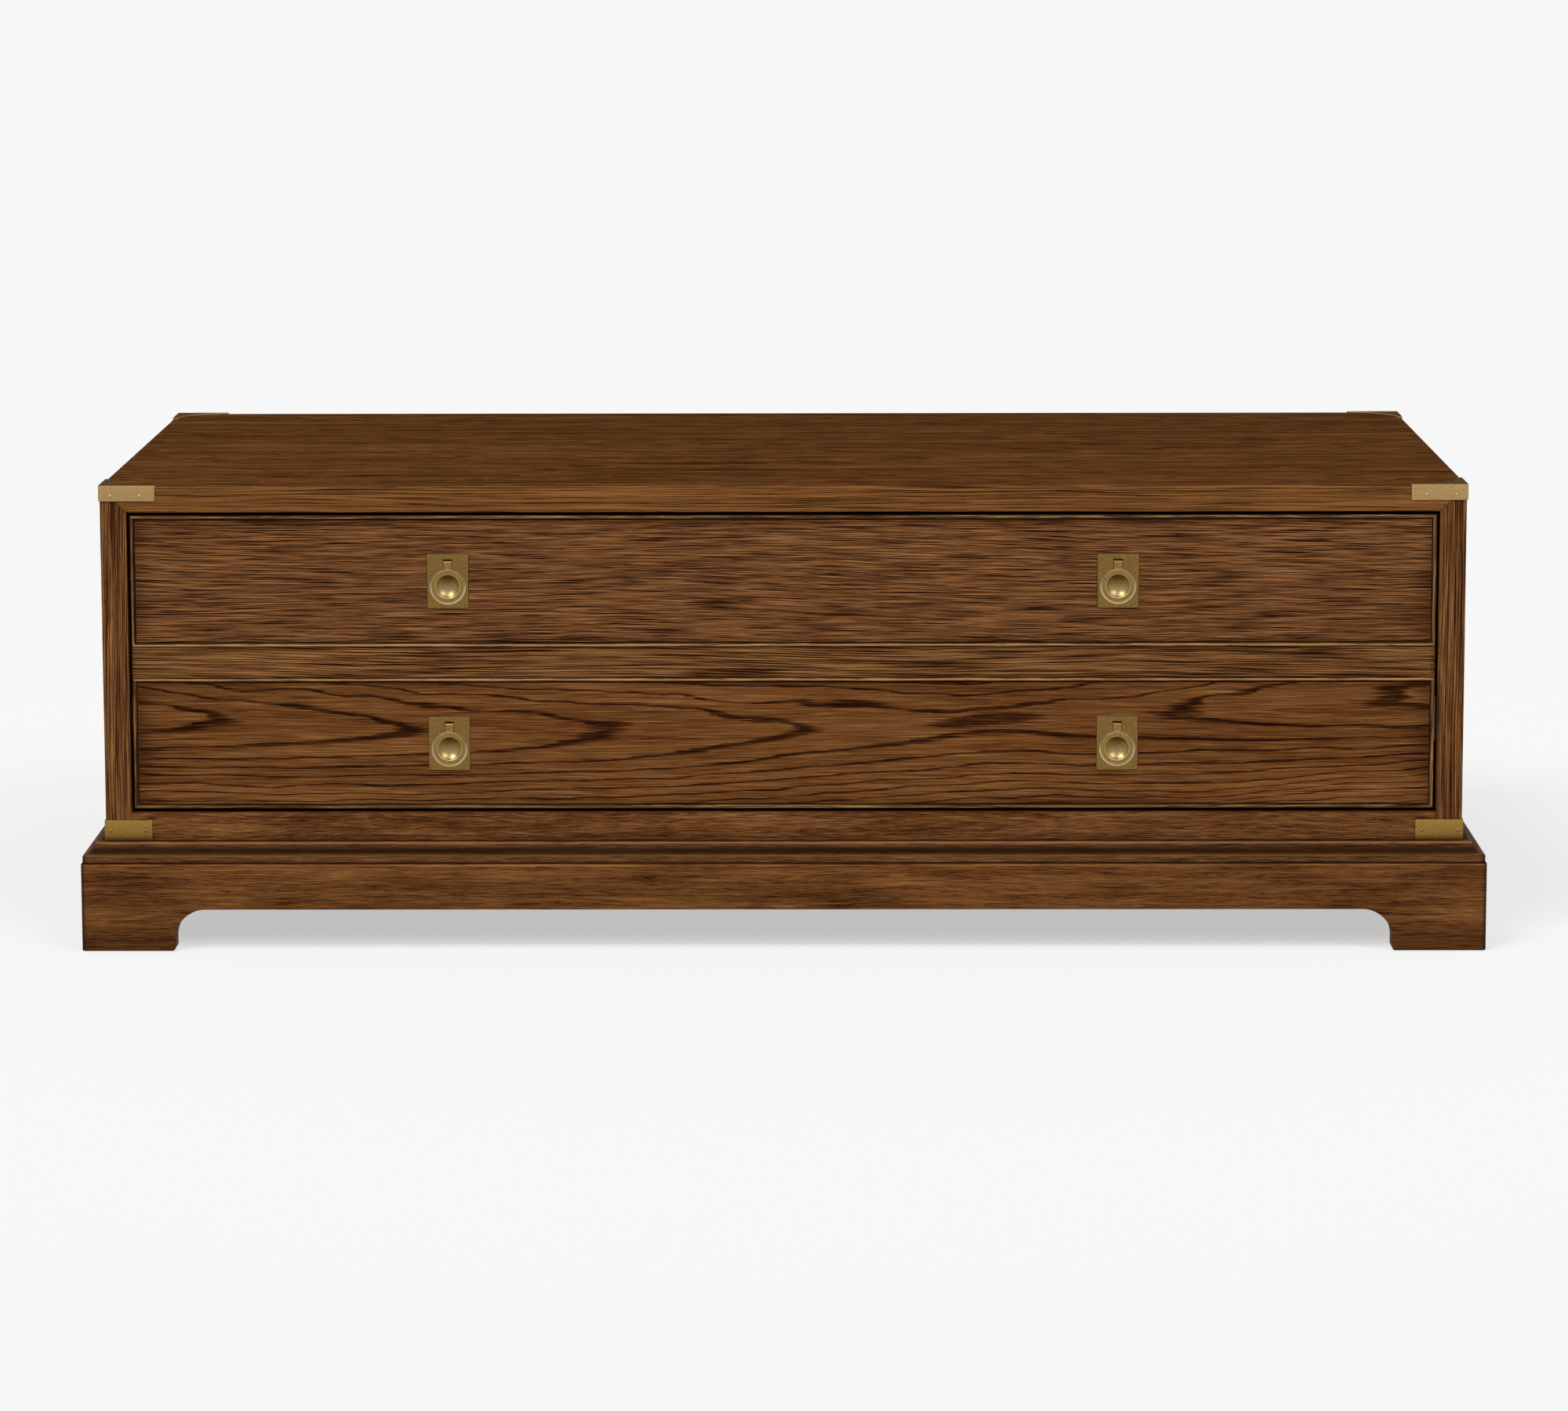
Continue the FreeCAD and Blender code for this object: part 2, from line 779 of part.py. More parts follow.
def bead_frame(z0, z1):
    """Four mitred bead strips round one panel: bottom, top, left and right."""
    back = -case_y + bead_depth
    centre_z = (z0 + z1) / 2
    half_rise = (z1 - z0) / 2

    def strip(half_run):
        outline = [
            point(-half_run, -bead_depth - past, 0),
            point(half_run, -bead_depth - past, 0),
            point(half_run - bead_strip, -bead_depth - past, bead_strip),
            point(-half_run + bead_strip, -bead_depth - past, bead_strip),
        ]
        return bead_run(half_run).common(prism(outline, Y * (bead_depth + past)))

    bottom = moved(strip(face_x), point(0, back, z0))
    top = bottom.mirror(point(0, 0, centre_z), Z)
    left = strip(half_rise)
    left.rotate(ORIGIN, Y, 90)
    left.translate(point(-face_x, back, centre_z))
    return [bottom, top, left, mirror_x(left)]


def make_face(rooms, face_screws):
    """The drawer face: two beaded panels with a plain rail between them."""
    lower = (face_bottom, face_bottom + panel_height)
    upper = (face_top - panel_height, face_top)
    for row, (z0, z1) in (("lower", lower), ("upper", upper)):
        panel = block(-face_x, face_x, field_y, face_back_y, z0, z1)
        rebate = block(-face_x, face_x, field_y - past, -case_y + bead_depth, z0, z1)
        keep = block(
            -face_x + bead_strip,
            face_x - bead_strip,
            field_y - past,
            -case_y + bead_depth,
            z0 + bead_strip,
            z1 - bead_strip,
        )
        panel = cut_all(panel, [rebate.cut(keep)] + rooms[row] + face_screws)
        save(row + "_drawer_face", [panel])
        save(row + "_cock_beads", bead_frame(z0, z1))
    rail = block(-face_x, face_x, field_y, face_back_y, lower[1], upper[0])
    rail = soften(rail, rail_end_ease, lambda c: near(abs(c.x), face_x) and near(c.y, field_y))
    save("centre_rail", [cut_all(rail, face_screws)])


def box_tails(y_root, y_tip):
    """The dovetail-shaped blocks at one end of the left box side."""
    pitch = box_height / tail_count
    tails = []
    for index in range(tail_count):
        z = box_base + pitch * (index + 0.5)
        root = pitch * tail_root_share / 2
        tip = pitch * tail_tip_share / 2
        outline = [
            point(-box_x, y_root, z - root),
            point(-box_x, y_tip, z - tip),
            point(-box_x, y_tip, z + tip),
            point(-box_x, y_root, z + root),
        ]
        tails.append(prism(outline, X * box_side))
    return tails


def face_screw_places():
    """Screw places through the box front into the two face boards."""
    span = 2 * (box_x - face_screw_edge)
    step = span / (face_screw_columns - 1)
    lower_z = face_bottom + panel_height * (1 - face_screw_rise_share)
    upper_z = face_top - panel_height * (1 - face_screw_rise_share)
    return [
        point(-span / 2 + step * column, face_back_y + box_end, z)
        for column in range(face_screw_columns)
        for z in (lower_z, upper_z)
    ]


def face_screw(place):
    head = peg(place, Y, face_screw_head_radius, face_screw_head)
    shank = peg(place, -Y, face_screw_radius, box_end + face_screw_bite)
    return fuse([head, shank])


def make_box(slide_screws, face_screws):
    """The dovetailed drawer box with its grooved-in bottom."""
    root_y = face_back_y + box_end
    left_tails = box_tails(root_y, face_back_y) + box_tails(box_back_y - box_end, box_back_y)
    side_core = block(
        -box_x, -box_x + box_side, root_y, box_back_y - box_end, box_base, box_top
    )
    left = fuse([side_core] + left_tails)
    tails = left_tails + [mirror_x(tail) for tail in left_tails]
    floor_z = box_base + bottom_rise_in_box
    reach_x = box_x - box_side + bottom_groove
    floor = block(
        -reach_x,
        reach_x,
        root_y - bottom_groove,
        box_back_y - box_end + bottom_groove,
        floor_z,
        floor_z + box_bottom,
    )
    front = block(-box_x, box_x, face_back_y, root_y, box_base, box_top)
    back = block(-box_x, box_x, box_back_y - box_end, box_back_y, box_base, box_top)
    save("drawer_box_front", [cut_all(front, tails + [floor] + face_screws)])
    save("drawer_box_back", [cut_all(back, tails + [floor])])
    save("drawer_box_left", [cut_all(left, [floor] + slide_screws)])
    save("drawer_box_right", [cut_all(mirror_x(left), [floor] + slide_screws)])
    save("drawer_bottom", [floor])
    brace = block(
        brace_offset - brace_width / 2,
        brace_offset + brace_width / 2,
        root_y,
        box_back_y - box_end,
        box_base,
        floor_z,
    )
    save("drawer_bottom_braces", [brace, mirror_x(brace)])


def main():
    os.makedirs("parts", exist_ok=True)
    base_screws = make_plinth()
    case_screws, box_screws = make_slides()
    top_brackets = make_brackets()
    make_case(base_screws, case_screws, top_brackets)
    rooms = make_pulls()
    face_screws = [face_screw(place) for place in face_screw_places()]
    save("face_screws", face_screws)
    make_face(rooms, face_screws)
    make_box(box_screws, face_screws)


main()
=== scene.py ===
"""The looks of a campaign coffee table: stained oak boards, aged brass corners and flush ring pulls.

Metres. +Z is up and the drawer front faces -Y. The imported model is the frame, and every size that
a piece shares with it is read from the frame's own boxes.
"""

from __future__ import annotations

import json
import logging
import math
from collections.abc import Callable, Iterable, Mapping
from dataclasses import dataclass
from enum import Enum

import bmesh
import bpy
from mathutils import Matrix, Vector

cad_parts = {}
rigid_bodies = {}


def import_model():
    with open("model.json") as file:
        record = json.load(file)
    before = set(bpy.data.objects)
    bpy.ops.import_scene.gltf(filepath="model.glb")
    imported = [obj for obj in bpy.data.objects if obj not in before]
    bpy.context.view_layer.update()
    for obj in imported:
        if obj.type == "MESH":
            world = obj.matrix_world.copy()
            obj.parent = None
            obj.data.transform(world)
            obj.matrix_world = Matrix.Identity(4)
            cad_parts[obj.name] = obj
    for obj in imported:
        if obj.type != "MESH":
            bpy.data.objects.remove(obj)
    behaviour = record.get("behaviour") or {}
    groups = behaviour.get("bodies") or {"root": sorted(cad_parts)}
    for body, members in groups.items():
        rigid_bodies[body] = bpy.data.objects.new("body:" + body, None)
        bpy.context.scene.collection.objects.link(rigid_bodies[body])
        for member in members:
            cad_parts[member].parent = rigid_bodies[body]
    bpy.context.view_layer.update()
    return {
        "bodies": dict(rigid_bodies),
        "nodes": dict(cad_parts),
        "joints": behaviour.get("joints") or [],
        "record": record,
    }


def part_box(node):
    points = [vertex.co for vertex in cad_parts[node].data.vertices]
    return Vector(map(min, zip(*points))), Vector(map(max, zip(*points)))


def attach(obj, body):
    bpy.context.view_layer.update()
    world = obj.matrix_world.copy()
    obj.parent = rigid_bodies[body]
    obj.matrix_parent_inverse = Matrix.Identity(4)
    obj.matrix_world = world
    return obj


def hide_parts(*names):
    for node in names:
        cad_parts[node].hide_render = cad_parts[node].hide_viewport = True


log = logging.getLogger("coffee_table")

MM = 0.001
# Points closer than this are merged, and a point nearer than this to a plane lies on it.
MERGE = 1e-6
NEAR = 1e-5
# How far a cutting tool reaches past a face.
PAST = 5 * MM
# A face whose normal's Z is below this points down.
DOWNWARD = -0.9
QUARTER_TURN = 90.0
HALF_TURN = 180.0
# The roughness of the noise that draws fibres, and how far it is spread to fill 0 to 1.
FIBRE_ROUGHNESS = 0.6
STREAK_SPREAD = 1.9
# How far apart the patterns of two sides of the base lie, for each degree between them.
SIDE_SEED = 0.01
# The photograph's width in pixels, and the sensor's in millimetres.
PHOTO_WIDTH = 2000
SENSOR_WIDTH = 36.0

Colour = tuple[float, float, float]
Test = Callable[[Vector], bool]


class Grain(Enum):
    """The way that a board's grain runs."""

    ALONG_X = ("X", "Z", "Y")
    ALONG_Y = ("Y", "Z", "X")
    UPRIGHT = ("Z", "X", "Y")


class Corner(Enum):
    """The four corners of the case, as signs of X and Y."""

    FRONT_LEFT = (-1, -1)
    FRONT_RIGHT = (1, -1)
    BACK_LEFT = (-1, 1)
    BACK_RIGHT = (1, 1)

    @property
    def label(self) -> str:
        """The corner's name as the frame's nodes write it."""
        return self.name.lower()


class Run(Enum):
    """The four sides that a plinth or a moulding goes round, as turns about Z from the front."""

    FRONT = 0
    RIGHT = 90
    BACK = 180
    LEFT = 270

    @property
    def label(self) -> str:
        """The side's name as the frame's nodes write it."""
        return self.name.lower()

    @property
    def grain(self) -> Grain:
        """The grain of a board on that side."""
        return Grain.ALONG_X if self in (Run.FRONT, Run.BACK) else Grain.ALONG_Y


def colour(red: int, green: int, blue: int) -> Colour:
    """Turns a colour as a screen shows it, 0 to 255, into a linear one."""
    return tuple(linear(channel / 255) for channel in (red, green, blue))


def linear(value: float) -> float:
    """One sRGB channel made linear."""
    return value / 12.92 if value <= 0.04045 else ((value + 0.055) / 1.055) ** 2.4


class Signal:
    """An output socket of a finish, with the arithmetic that the finishes use."""

    def __init__(self, sheet: Sheet, socket: bpy.types.NodeSocket) -> None:
        """Keeps the sheet and the socket.

        Args:
            sheet: the sheet that the socket's node is on.
            socket: the output socket.
        """
        self.sheet = sheet
        self.socket = socket

    def _math(self, operation: str, first: Number, second: Number) -> Signal:
        """Adds one Math node."""
        return self.sheet.node("ShaderNodeMath", {"operation": operation}, {0: first, 1: second})

    def __add__(self, other: Number) -> Signal:
        """Adds on the right."""
        return self._math("ADD", self, other)

    def __radd__(self, other: Number) -> Signal:
        """Adds on the left."""
        return self._math("ADD", other, self)

    def __sub__(self, other: Number) -> Signal:
        """Takes a value away."""
        return self._math("SUBTRACT", self, other)

    def __rsub__(self, other: Number) -> Signal:
        """Is taken away from a value."""
        return self._math("SUBTRACT", other, self)

    def __mul__(self, other: Number) -> Signal:
        """Multiplies on the right."""
        return self._math("MULTIPLY", self, other)

    def __rmul__(self, other: Number) -> Signal:
        """Multiplies on the left."""
        return self._math("MULTIPLY", other, self)

    def __truediv__(self, other: Number) -> Signal:
        """Divides by a value."""
        return self._math("DIVIDE", self, other)

    def __pow__(self, other: Number) -> Signal:
        """Raises to a power."""
        return self._math("POWER", self, other)

    def __abs__(self) -> Signal:
        """The size without its sign."""
        return self._math("ABSOLUTE", self, 0.0)

    def least(self, other: Number) -> Signal:
        """The smaller of two values."""
        return self._math("MINIMUM", self, other)

    def most(self, other: Number) -> Signal:
        """The larger of two values."""
        return self._math("MAXIMUM", self, other)

    def fraction(self) -> Signal:
        """The part after the decimal point."""
        return self._math("FRACT", self, 0.0)

    def ramp(self, start: float, end: float) -> Signal:
        """Goes smoothly from 0 at start to 1 at end.

        Args:
            start: the value that gives 0. It may be above end.
            end: the value that gives 1.

        Returns:
            A signal that stays between 0 and 1.
        """
        settings = {"interpolation_type": "SMOOTHSTEP", "clamp": True}
        if start < end:
            return self.sheet.node("ShaderNodeMapRange", settings, {0: self, 1: start, 2: end})
        return 1 - self.sheet.node("ShaderNodeMapRange", settings, {0: self, 1: end, 2: start})

    def sibling(self, output: str) -> Signal:
        """Another output of the same node."""
        return Signal(self.sheet, self.socket.node.outputs[output])


Number = Signal | float
Line = tuple[Signal, Signal, Signal]


class Sheet:
    """The node sheet of a material or of the world."""

    def __init__(self, owner: bpy.types.Material | bpy.types.World) -> None:
        """Clears the owner's node tree.

        Args:
            owner: the material or the world.
        """
        self.owner = owner
        self.owner.use_nodes = True
        self.tree = self.owner.node_tree
        self.tree.nodes.clear()

    def node(
        self,
        kind: str,
        settings: Mapping[str, object] | None = None,
        inputs: Mapping[str | int, object] | None = None,
        output: str | int = 0,
    ) -> Signal:
        """Adds any node.

        Args:
            kind: the node's type.
            settings: its own settings. They are set before its sockets. A ramp's colours are
                given as stops, a list of places and colours.
            inputs: a value or a signal for each socket that is named or numbered.
            output: the socket that the result comes from.

        Returns:
            The signal of that output.
        """
        made = self.tree.nodes.new(kind)
        for key, value in (settings or {}).items():
            if key == "stops":
                self._set_stops(made, value)
            else:
                setattr(made, key, value)
        for key, value in (inputs or {}).items():
            if isinstance(value, Signal):
                self.tree.links.new(value.socket, made.inputs[key])
            else:
                made.inputs[key].default_value = value
        return Signal(self, made.outputs[output])

    @staticmethod
    def _set_stops(made: bpy.types.Node, stops: Iterable[tuple[float, Colour]]) -> None:
        """Gives a colour ramp its stops.

        Args:
            made: the ramp's node.
            stops: the places, 0 to 1, and their colours.
        """
        elements = made.color_ramp.elements
        while len(elements) > 1:
            elements.remove(elements[-1])
        for index, (place, tone) in enumerate(stops):
            stop = elements[0] if index == 0 else elements.new(place)
            stop.position = place
            stop.color = (*tone, 1.0)

    def place(self) -> Signal:
        """The point's own coordinates on the object, in metres."""
        return self.node("ShaderNodeTexCoord", output="Object")

    def axes(self, vector: Signal) -> dict[str, Signal]:
        """The three numbers of a vector, by the name of their axis."""
        first = self.node("ShaderNodeSeparateXYZ", inputs={0: vector})
        return {"X": first, "Y": first.sibling("Y"), "Z": first.sibling("Z")}

    def vector(self, x: Number, y: Number, z: Number) -> Signal:
        """A vector made of three numbers."""
        return self.node("ShaderNodeCombineXYZ", inputs={0: x, 1: y, 2: z})

    def noise(self, vector: Signal, detail: float = 2.0, roughness: float = 0.5) -> Signal:
        """Smooth noise that repeats about once a unit."""
        inputs = {"Vector": vector, "Scale": 1.0, "Detail": detail, "Roughness": roughness}
        return self.node("ShaderNodeTexNoise", inputs=inputs)

    def tones(self, value: Signal, stops: Iterable[tuple[float, Colour]]) -> Signal:
        """A colour picked from a ramp by a value."""
        return self.node("ShaderNodeValToRGB", {"stops": stops}, {0: value})

    def tint(self, base: Signal, tone: Colour | Signal, share: Number, mode: str = "MIX") -> Signal:
        """Mixes a second colour over a first.

        Args:
            base: the colour below.
            tone: the colour above.
            share: how much of the second shows, 0 to 1.
            mode: the blend type of the Mix node.

        Returns:
            The mixed colour.
        """
        settings = {"data_type": "RGBA", "blend_type": mode}
        above = tone if isinstance(tone, Signal) else (*tone, 1.0)
        return self.node("ShaderNodeMix", settings, {0: share, 6: base, 7: above}, output=2)

    def show(self, surface: Signal, kind: str = "ShaderNodeOutputMaterial") -> None:
        """Ends the sheet with an output node that shows a surface."""
        self.tree.links.new(surface.socket, self.tree.nodes.new(kind).inputs["Surface"])


class FinishSheet(Sheet):
    """The node sheet of a material with one plain shader."""

    def __init__(self, name: str) -> None:
        """Starts a named material with its shader and its output.

        Args:
            name: the material's name.
        """
        super().__init__(bpy.data.materials.new(name))
        surface = self.node("ShaderNodeBsdfPrincipled")
        self.shader = surface.socket.node
        self.show(surface)

    def relief(self, height: Signal, depth: float, strength: float) -> None:
        """Feeds a bump to the shader's normal.

        Args:
            height: the relief, 0 to 1.
            depth: how far the relief goes, in metres.
            strength: how strongly it shows, 0 to 1.
        """
        inputs = {"Strength": strength, "Distance": depth, "Height": height}
        self.feed("Normal", self.node("ShaderNodeBump", inputs=inputs))

    def feed(self, socket: str, value: Signal | float) -> None:
        """Sets one of the shader's sockets to a signal or a constant.

        Args:
            socket: the socket's name.
            value: the signal or the constant.
        """
        if isinstance(value, Signal):
            self.tree.links.new(value.socket, self.shader.inputs[socket])
        else:
            self.shader.inputs[socket].default_value = value


@dataclass(frozen=True)
class Panel:
    """The rectangle inside which a drawer panel is glazed dark towards its edges, in metres; on the
    centre rail this darkening is partly painted shade under the beads.
    """

    along: tuple[float, float]
    across: tuple[float, float]
    reach: float = 30 * MM
    worn_cloud: float = 0.9
    worn_fine: float = 0.3
    side_rate: float = 2.2
    depth: float = 0.55


@dataclass(frozen=True)
class Mark:
    """A line along a board, tinted dark as dark wax with painted shade in joints and quirks, or pale as
    a painted highlight.

    The place is measured from the middle of the table either way, in metres.
    """

    axis: str
    place: float
    width: float
    share: float
    pale: bool = False


@dataclass(frozen=True)
class Layer:
    """A layer of streaks, by how many times as long and as wide as the board's own they are."""

    length: float
    pitch: float


@dataclass(frozen=True)
class Drift:
    """A slow sideways wander of the grain, with its rates a metre along and across."""

    along: float
    across: float
    reach: float

    def shift(self, sheet: Sheet, along: Signal, across: Signal, depth: Signal) -> Signal:
        """How far the grain is moved, in metres.

        Args:
            sheet: the material's sheet.
            along: the place along the grain.
            across: the place across it on the face.
            depth: the place into the board.

        Returns:
            The move across the grain.
        """
        place = sheet.vector(along * self.along, across * self.across, depth * self.across)
        return (sheet.noise(place, 1.0) - 0.5) * self.reach


@dataclass(frozen=True)
class Pores:
    """Short dark open pores, thicker in the dark bands of the grain."""

    length: float = 11 * MM
    pitch: float = 0.7 * MM
    crowding: float = 0.12
    edge: tuple[float, float] = (0.56, 0.66)

    def draw(self, sheet: Sheet, line: Line, broad: Signal) -> Signal:
        """Draws the pores.

        Args:
            sheet: the material's sheet.
            line: the place along the grain, across it on the face, and into the board.
            broad: the broad bands of the grain.

        Returns:
            1 inside a pore.
        """
        along, across, depth = line
        rate = 1 / self.pitch
        flecks = sheet.noise(sheet.vector(along * (1 / self.length), across * rate, depth * rate), 1.0)
        return (flecks + (0.5 - broad) * self.crowding).ramp(*self.edge)


@dataclass(frozen=True)
class Arches:
    """Nested growth rings of a flat-sawn board, whose points face a knot-like lens.

    The heart is where the lens lies along the board. The middle is the height of the arches' axis
    at the bow's place, and bow is how fast it rises away from there.
    """

    heart: float = 200 * MM
    bow_place: float = -150 * MM
    bow: float = 0.06
    middle: float = 215 * MM
    bend: tuple[float, float] = (130 * MM, 30 * MM)
    rag: tuple[float, float] = (40 * MM, 1.6 * MM)
    sway: float = 9 * MM
    nose: float = 17 * MM
    heart_nose: float = 30 * MM
    rings: float = 30.0
    crowding: float = 800.0
    ring_run: float = 190 * MM
    phase: float = 0.58
    bend_share: float = 0.3
    rag_share: float = 0.16
    fine_share: float = 0.06
    dark_edge: tuple[float, float] = (0.0, 0.05)
    pale_edge: tuple[float, float] = (0.27, 0.1)
    lens_across: float = 150.0
    lens_along: float = 17.0
    lens_rag: float = 1.2
    lens_edge: tuple[float, float] = (1.2, 0.3)

    def draw(self, sheet: Sheet, place: Signal, line: Line, fine: Signal) -> Signal:
        """Draws the rings and the lens.

        Args:
            sheet: the material's sheet.
            place: the place along the table.
            line: the place along the grain, across it on the face, and into the board.
            fine: the finest streaks.

        Returns:
            1 in a dark ring or in the lens.
        """
        beyond = place - self.bow_place
        middle = beyond * beyond * self.bow + self.middle
        bend = streaks(sheet, line, *self.bend)
        rag = streaks(sheet, line, *self.rag)
        offset = line[1] - middle + (bend - 0.5) * self.sway
        beside = place - self.heart
        spread = (offset * offset + self.nose**2) ** 0.5
        away = (beside * beside + self.heart_nose**2) ** 0.5
        rings = spread * self.rings + offset * offset * self.crowding - away / self.ring_run + self.phase
        rings = rings + (bend - 0.5) * self.bend_share + (rag - 0.5) * self.rag_share
        edge = (rings + (fine - 0.5) * self.fine_share).fraction()
        bands = edge.ramp(*self.dark_edge) * edge.ramp(*self.pale_edge)
        high = offset * self.lens_across
        wide = beside * self.lens_along
        lens = (high * high + wide * wide + (rag - 0.5) * self.lens_rag).ramp(*self.lens_edge)
        return bands.most(lens)


def streaks(sheet: Sheet, line: Line, length: float, pitch: float) -> Signal:
    """Noise drawn out along the grain, spread to fill 0 to 1.

    Args:
        sheet: the material's sheet.
        line: the place along the grain, across it on the face, and into the board.
        length: a streak's length, in metres.
        pitch: a streak's width, in metres.

    Returns:
        The streaks, about 0 to 1.
    """
    along, across, depth = line
    rate = 1 / pitch
    stretched = sheet.vector(along * (1 / length), across * rate, depth * rate)
    return (sheet.noise(stretched, 2.0, FIBRE_ROUGHNESS) - 0.5) * STREAK_SPREAD + 0.5


@dataclass(frozen=True)
class Oak:
    """Stained open-grained oak with a soft satin wax.

    Lengths are those of the grain's own marks. Contrast is how far the dark and pale streaks stand
    apart, and figure is how much of the flat-sawn arches shows. The fields whose names end in share
    say how much of a thing goes into the tone.
    """

    name: str
    grain: Grain
    shadow: Colour = colour(26, 6, 1)
    ground: Colour = colour(100, 58, 26)
    light: Colour = colour(162, 116, 70)
    streak_length: float = 20 * MM
    streak_pitch: float = 1.0 * MM
    contrast: float = 1.0
    band: float = 0.3
    cloud: float = 0.3
    pores: float = 0.3
    crisp: float = 0.0
    figure: float = 0.0
    slope: float = 0.0
    seed: float = 0.0
    gloss: float = 0.03
    roughness: float = 0.5
    relief: float = 0.25
    panel: Panel | None = None
    marks: tuple[Mark, ...] = ()
    streak: Layer = Layer(1.0, 1.0)
    hair: Layer = Layer(2.6, 0.5)
    broad: Layer = Layer(7.0, 7.0)
    patch: Layer = Layer(6.0, 40.0)
    drift: Drift = Drift(2.2, 9.0, 14 * MM)
    ripple: Drift = Drift(13.0, 50.0, 2.4 * MM)
    row_pitches: float = 4.0
    row_shift: float = 8.0
    open_pores: Pores = Pores()
    arches: Arches = Arches()
    fine_share: float = 1.5
    hair_share: float = 0.9
    crisp_edge: tuple[float, float] = (0.3, 0.7)
    pale_share: float = 0.6
    wax_share: tuple[float, float, float] = (0.5, 0.3, 0.6)
    dark_roughness: float = 0.16
    shine: float = 0.05
    relief_span: tuple[float, float] = (-0.2, 1.2)
    relief_depth: float = 0.5 * MM

    def make(self) -> bpy.types.Material:
        """Builds the material.

        Returns:
            The material.
        """
        sheet = FinishSheet(self.name)
        axes = sheet.axes(sheet.place())
        along_name, across_name, depth_name = self.grain.value
        along = axes[along_name] + self.seed
        depth = axes[depth_name]
        across = self._wander(sheet, along, axes[across_name], depth)
        flow = (along, across, depth)
        line = (along + self._stagger(sheet, across, depth), across, depth)

        fine = self._layer(sheet, line, self.streak)
        hair = self._layer(sheet, line, self.hair)
        broad = self._layer(sheet, line, self.broad)
        cloud = self._layer(sheet, line, self.patch)

        value = 0.5 + (fine - 0.5) * (self.fine_share * self.contrast)
        value = value + (hair - 0.5) * (self.hair_share * self.contrast)
        if self.crisp:
            value = value + (fine.ramp(*self.crisp_edge) - 0.5) * self.crisp
        value = value + (broad - 0.5) * self.band + (cloud - 0.5) * self.cloud
        value = value - self.open_pores.draw(sheet, line, broad) * self.pores
        if self.figure:
            value = value - self.arches.draw(sheet, axes["X"], flow, fine) * self.figure
        # Pale marks are painted highlights on arrises and bead noses, partly also worn pale.
        for mark in self.marks:
            if mark.pale:
                value = value + self._near(axes, mark) * (mark.share * self.pale_share)
        stops = [(0.0, self.shadow), (0.5, self.ground), (1.0, self.light)]
        wood = sheet.tones(value, stops)
        if self.panel:
            wood = sheet.tint(wood, self.shadow, self._glaze(axes, cloud, fine))
        # Dark marks are dark wax in joints, with painted shade where they lie in quirks, coves and
        # joints between parts.
        from_fine, from_cloud, least = self.wax_share
        for mark in self.marks:
            if not mark.pale:
                film = fine * from_fine + cloud * from_cloud + least
                wax = self._near(axes, mark) * film * mark.share
                wood = sheet.tint(wood, self.shadow, wax.least(1.0))
        rough = self.roughness + self.dark_roughness * (1 - value).ramp(0.0, 1.0) - self.shine
        sheet.feed("Base Color", wood)
        sheet.feed("Roughness", rough)
        sheet.feed("Specular IOR Level", self.gloss)
        sheet.relief(value.ramp(*self.relief_span), self.relief_depth, self.relief)
        return sheet.owner

    @staticmethod
    def _near(axes: dict[str, Signal], mark: Mark) -> Signal:
        """1 on a mark's line, and 0 at its width."""
        return abs(abs(axes[mark.axis]) - mark.place).ramp(mark.width, 0.0)

    def _layer(self, sheet: Sheet, line: Line, layer: Layer) -> Signal:
        """A layer of streaks in the board's own measure."""
        return streaks(sheet, line, self.streak_length * layer.length, self.streak_pitch * layer.pitch)

    def _wander(self, sheet: Sheet, along: Signal, across: Signal, depth: Signal) -> Signal:
        """Lets the grain drift and slope a little along the board.

        Args:
            sheet: the material's sheet.
            along: the place along the grain.
            across: the place across it on the face.
            depth: the place into the board.

        Returns:
            The place across, as the grain has it.
        """
        drift = self.drift.shift(sheet, along, across, depth)
        ripple = self.ripple.shift(sheet, along, across, depth)
        return across + drift + ripple + along * self.slope

    def _stagger(self, sheet: Sheet, across: Signal, depth: Signal) -> Signal:
        """Shifts each row of streaks along the board, so that their ends don't line up.

        Args:
            sheet: the material's sheet.
            across: the place across the grain on the face.
            depth: the place into the board.

        Returns:
            The shift along the grain, in metres.
        """
        rate = 1 / (self.row_pitches * self.streak_pitch)
        row = sheet.noise(sheet.vector(0.0, across * rate, depth * rate), 2.0)
        return (row - 0.5) * (self.row_shift * self.streak_length)

    def _glaze(self, axes: dict[str, Signal], cloud: Signal, fine: Signal) -> Signal:
        """Dark wax left along the edges of a panel, which on the centre rail is partly painted shade
        under the beads.

        Args:
            axes: the place, by the name of its axis.
            cloud: the broadest patches of the grain.
            fine: the finest streaks.

        Returns:
            How much wax lies there, 0 to 1.
        """
        along_name, across_name, _ = self.grain.value
        panel = self.panel
        ends = (axes[along_name] - panel.along[0]).least(panel.along[1] - axes[along_name])
        sides = (axes[across_name] - panel.across[0]).least(panel.across[1] - axes[across_name])
        worn = (cloud - 0.5) * panel.reach * panel.worn_cloud
        worn = worn + (fine - 0.5) * panel.reach * panel.worn_fine
        near_end = (ends + worn).ramp(panel.reach, 0.0)
        near_side = (sides * panel.side_rate + worn).ramp(panel.reach, 0.0)
        return near_end.most(near_side) * panel.depth


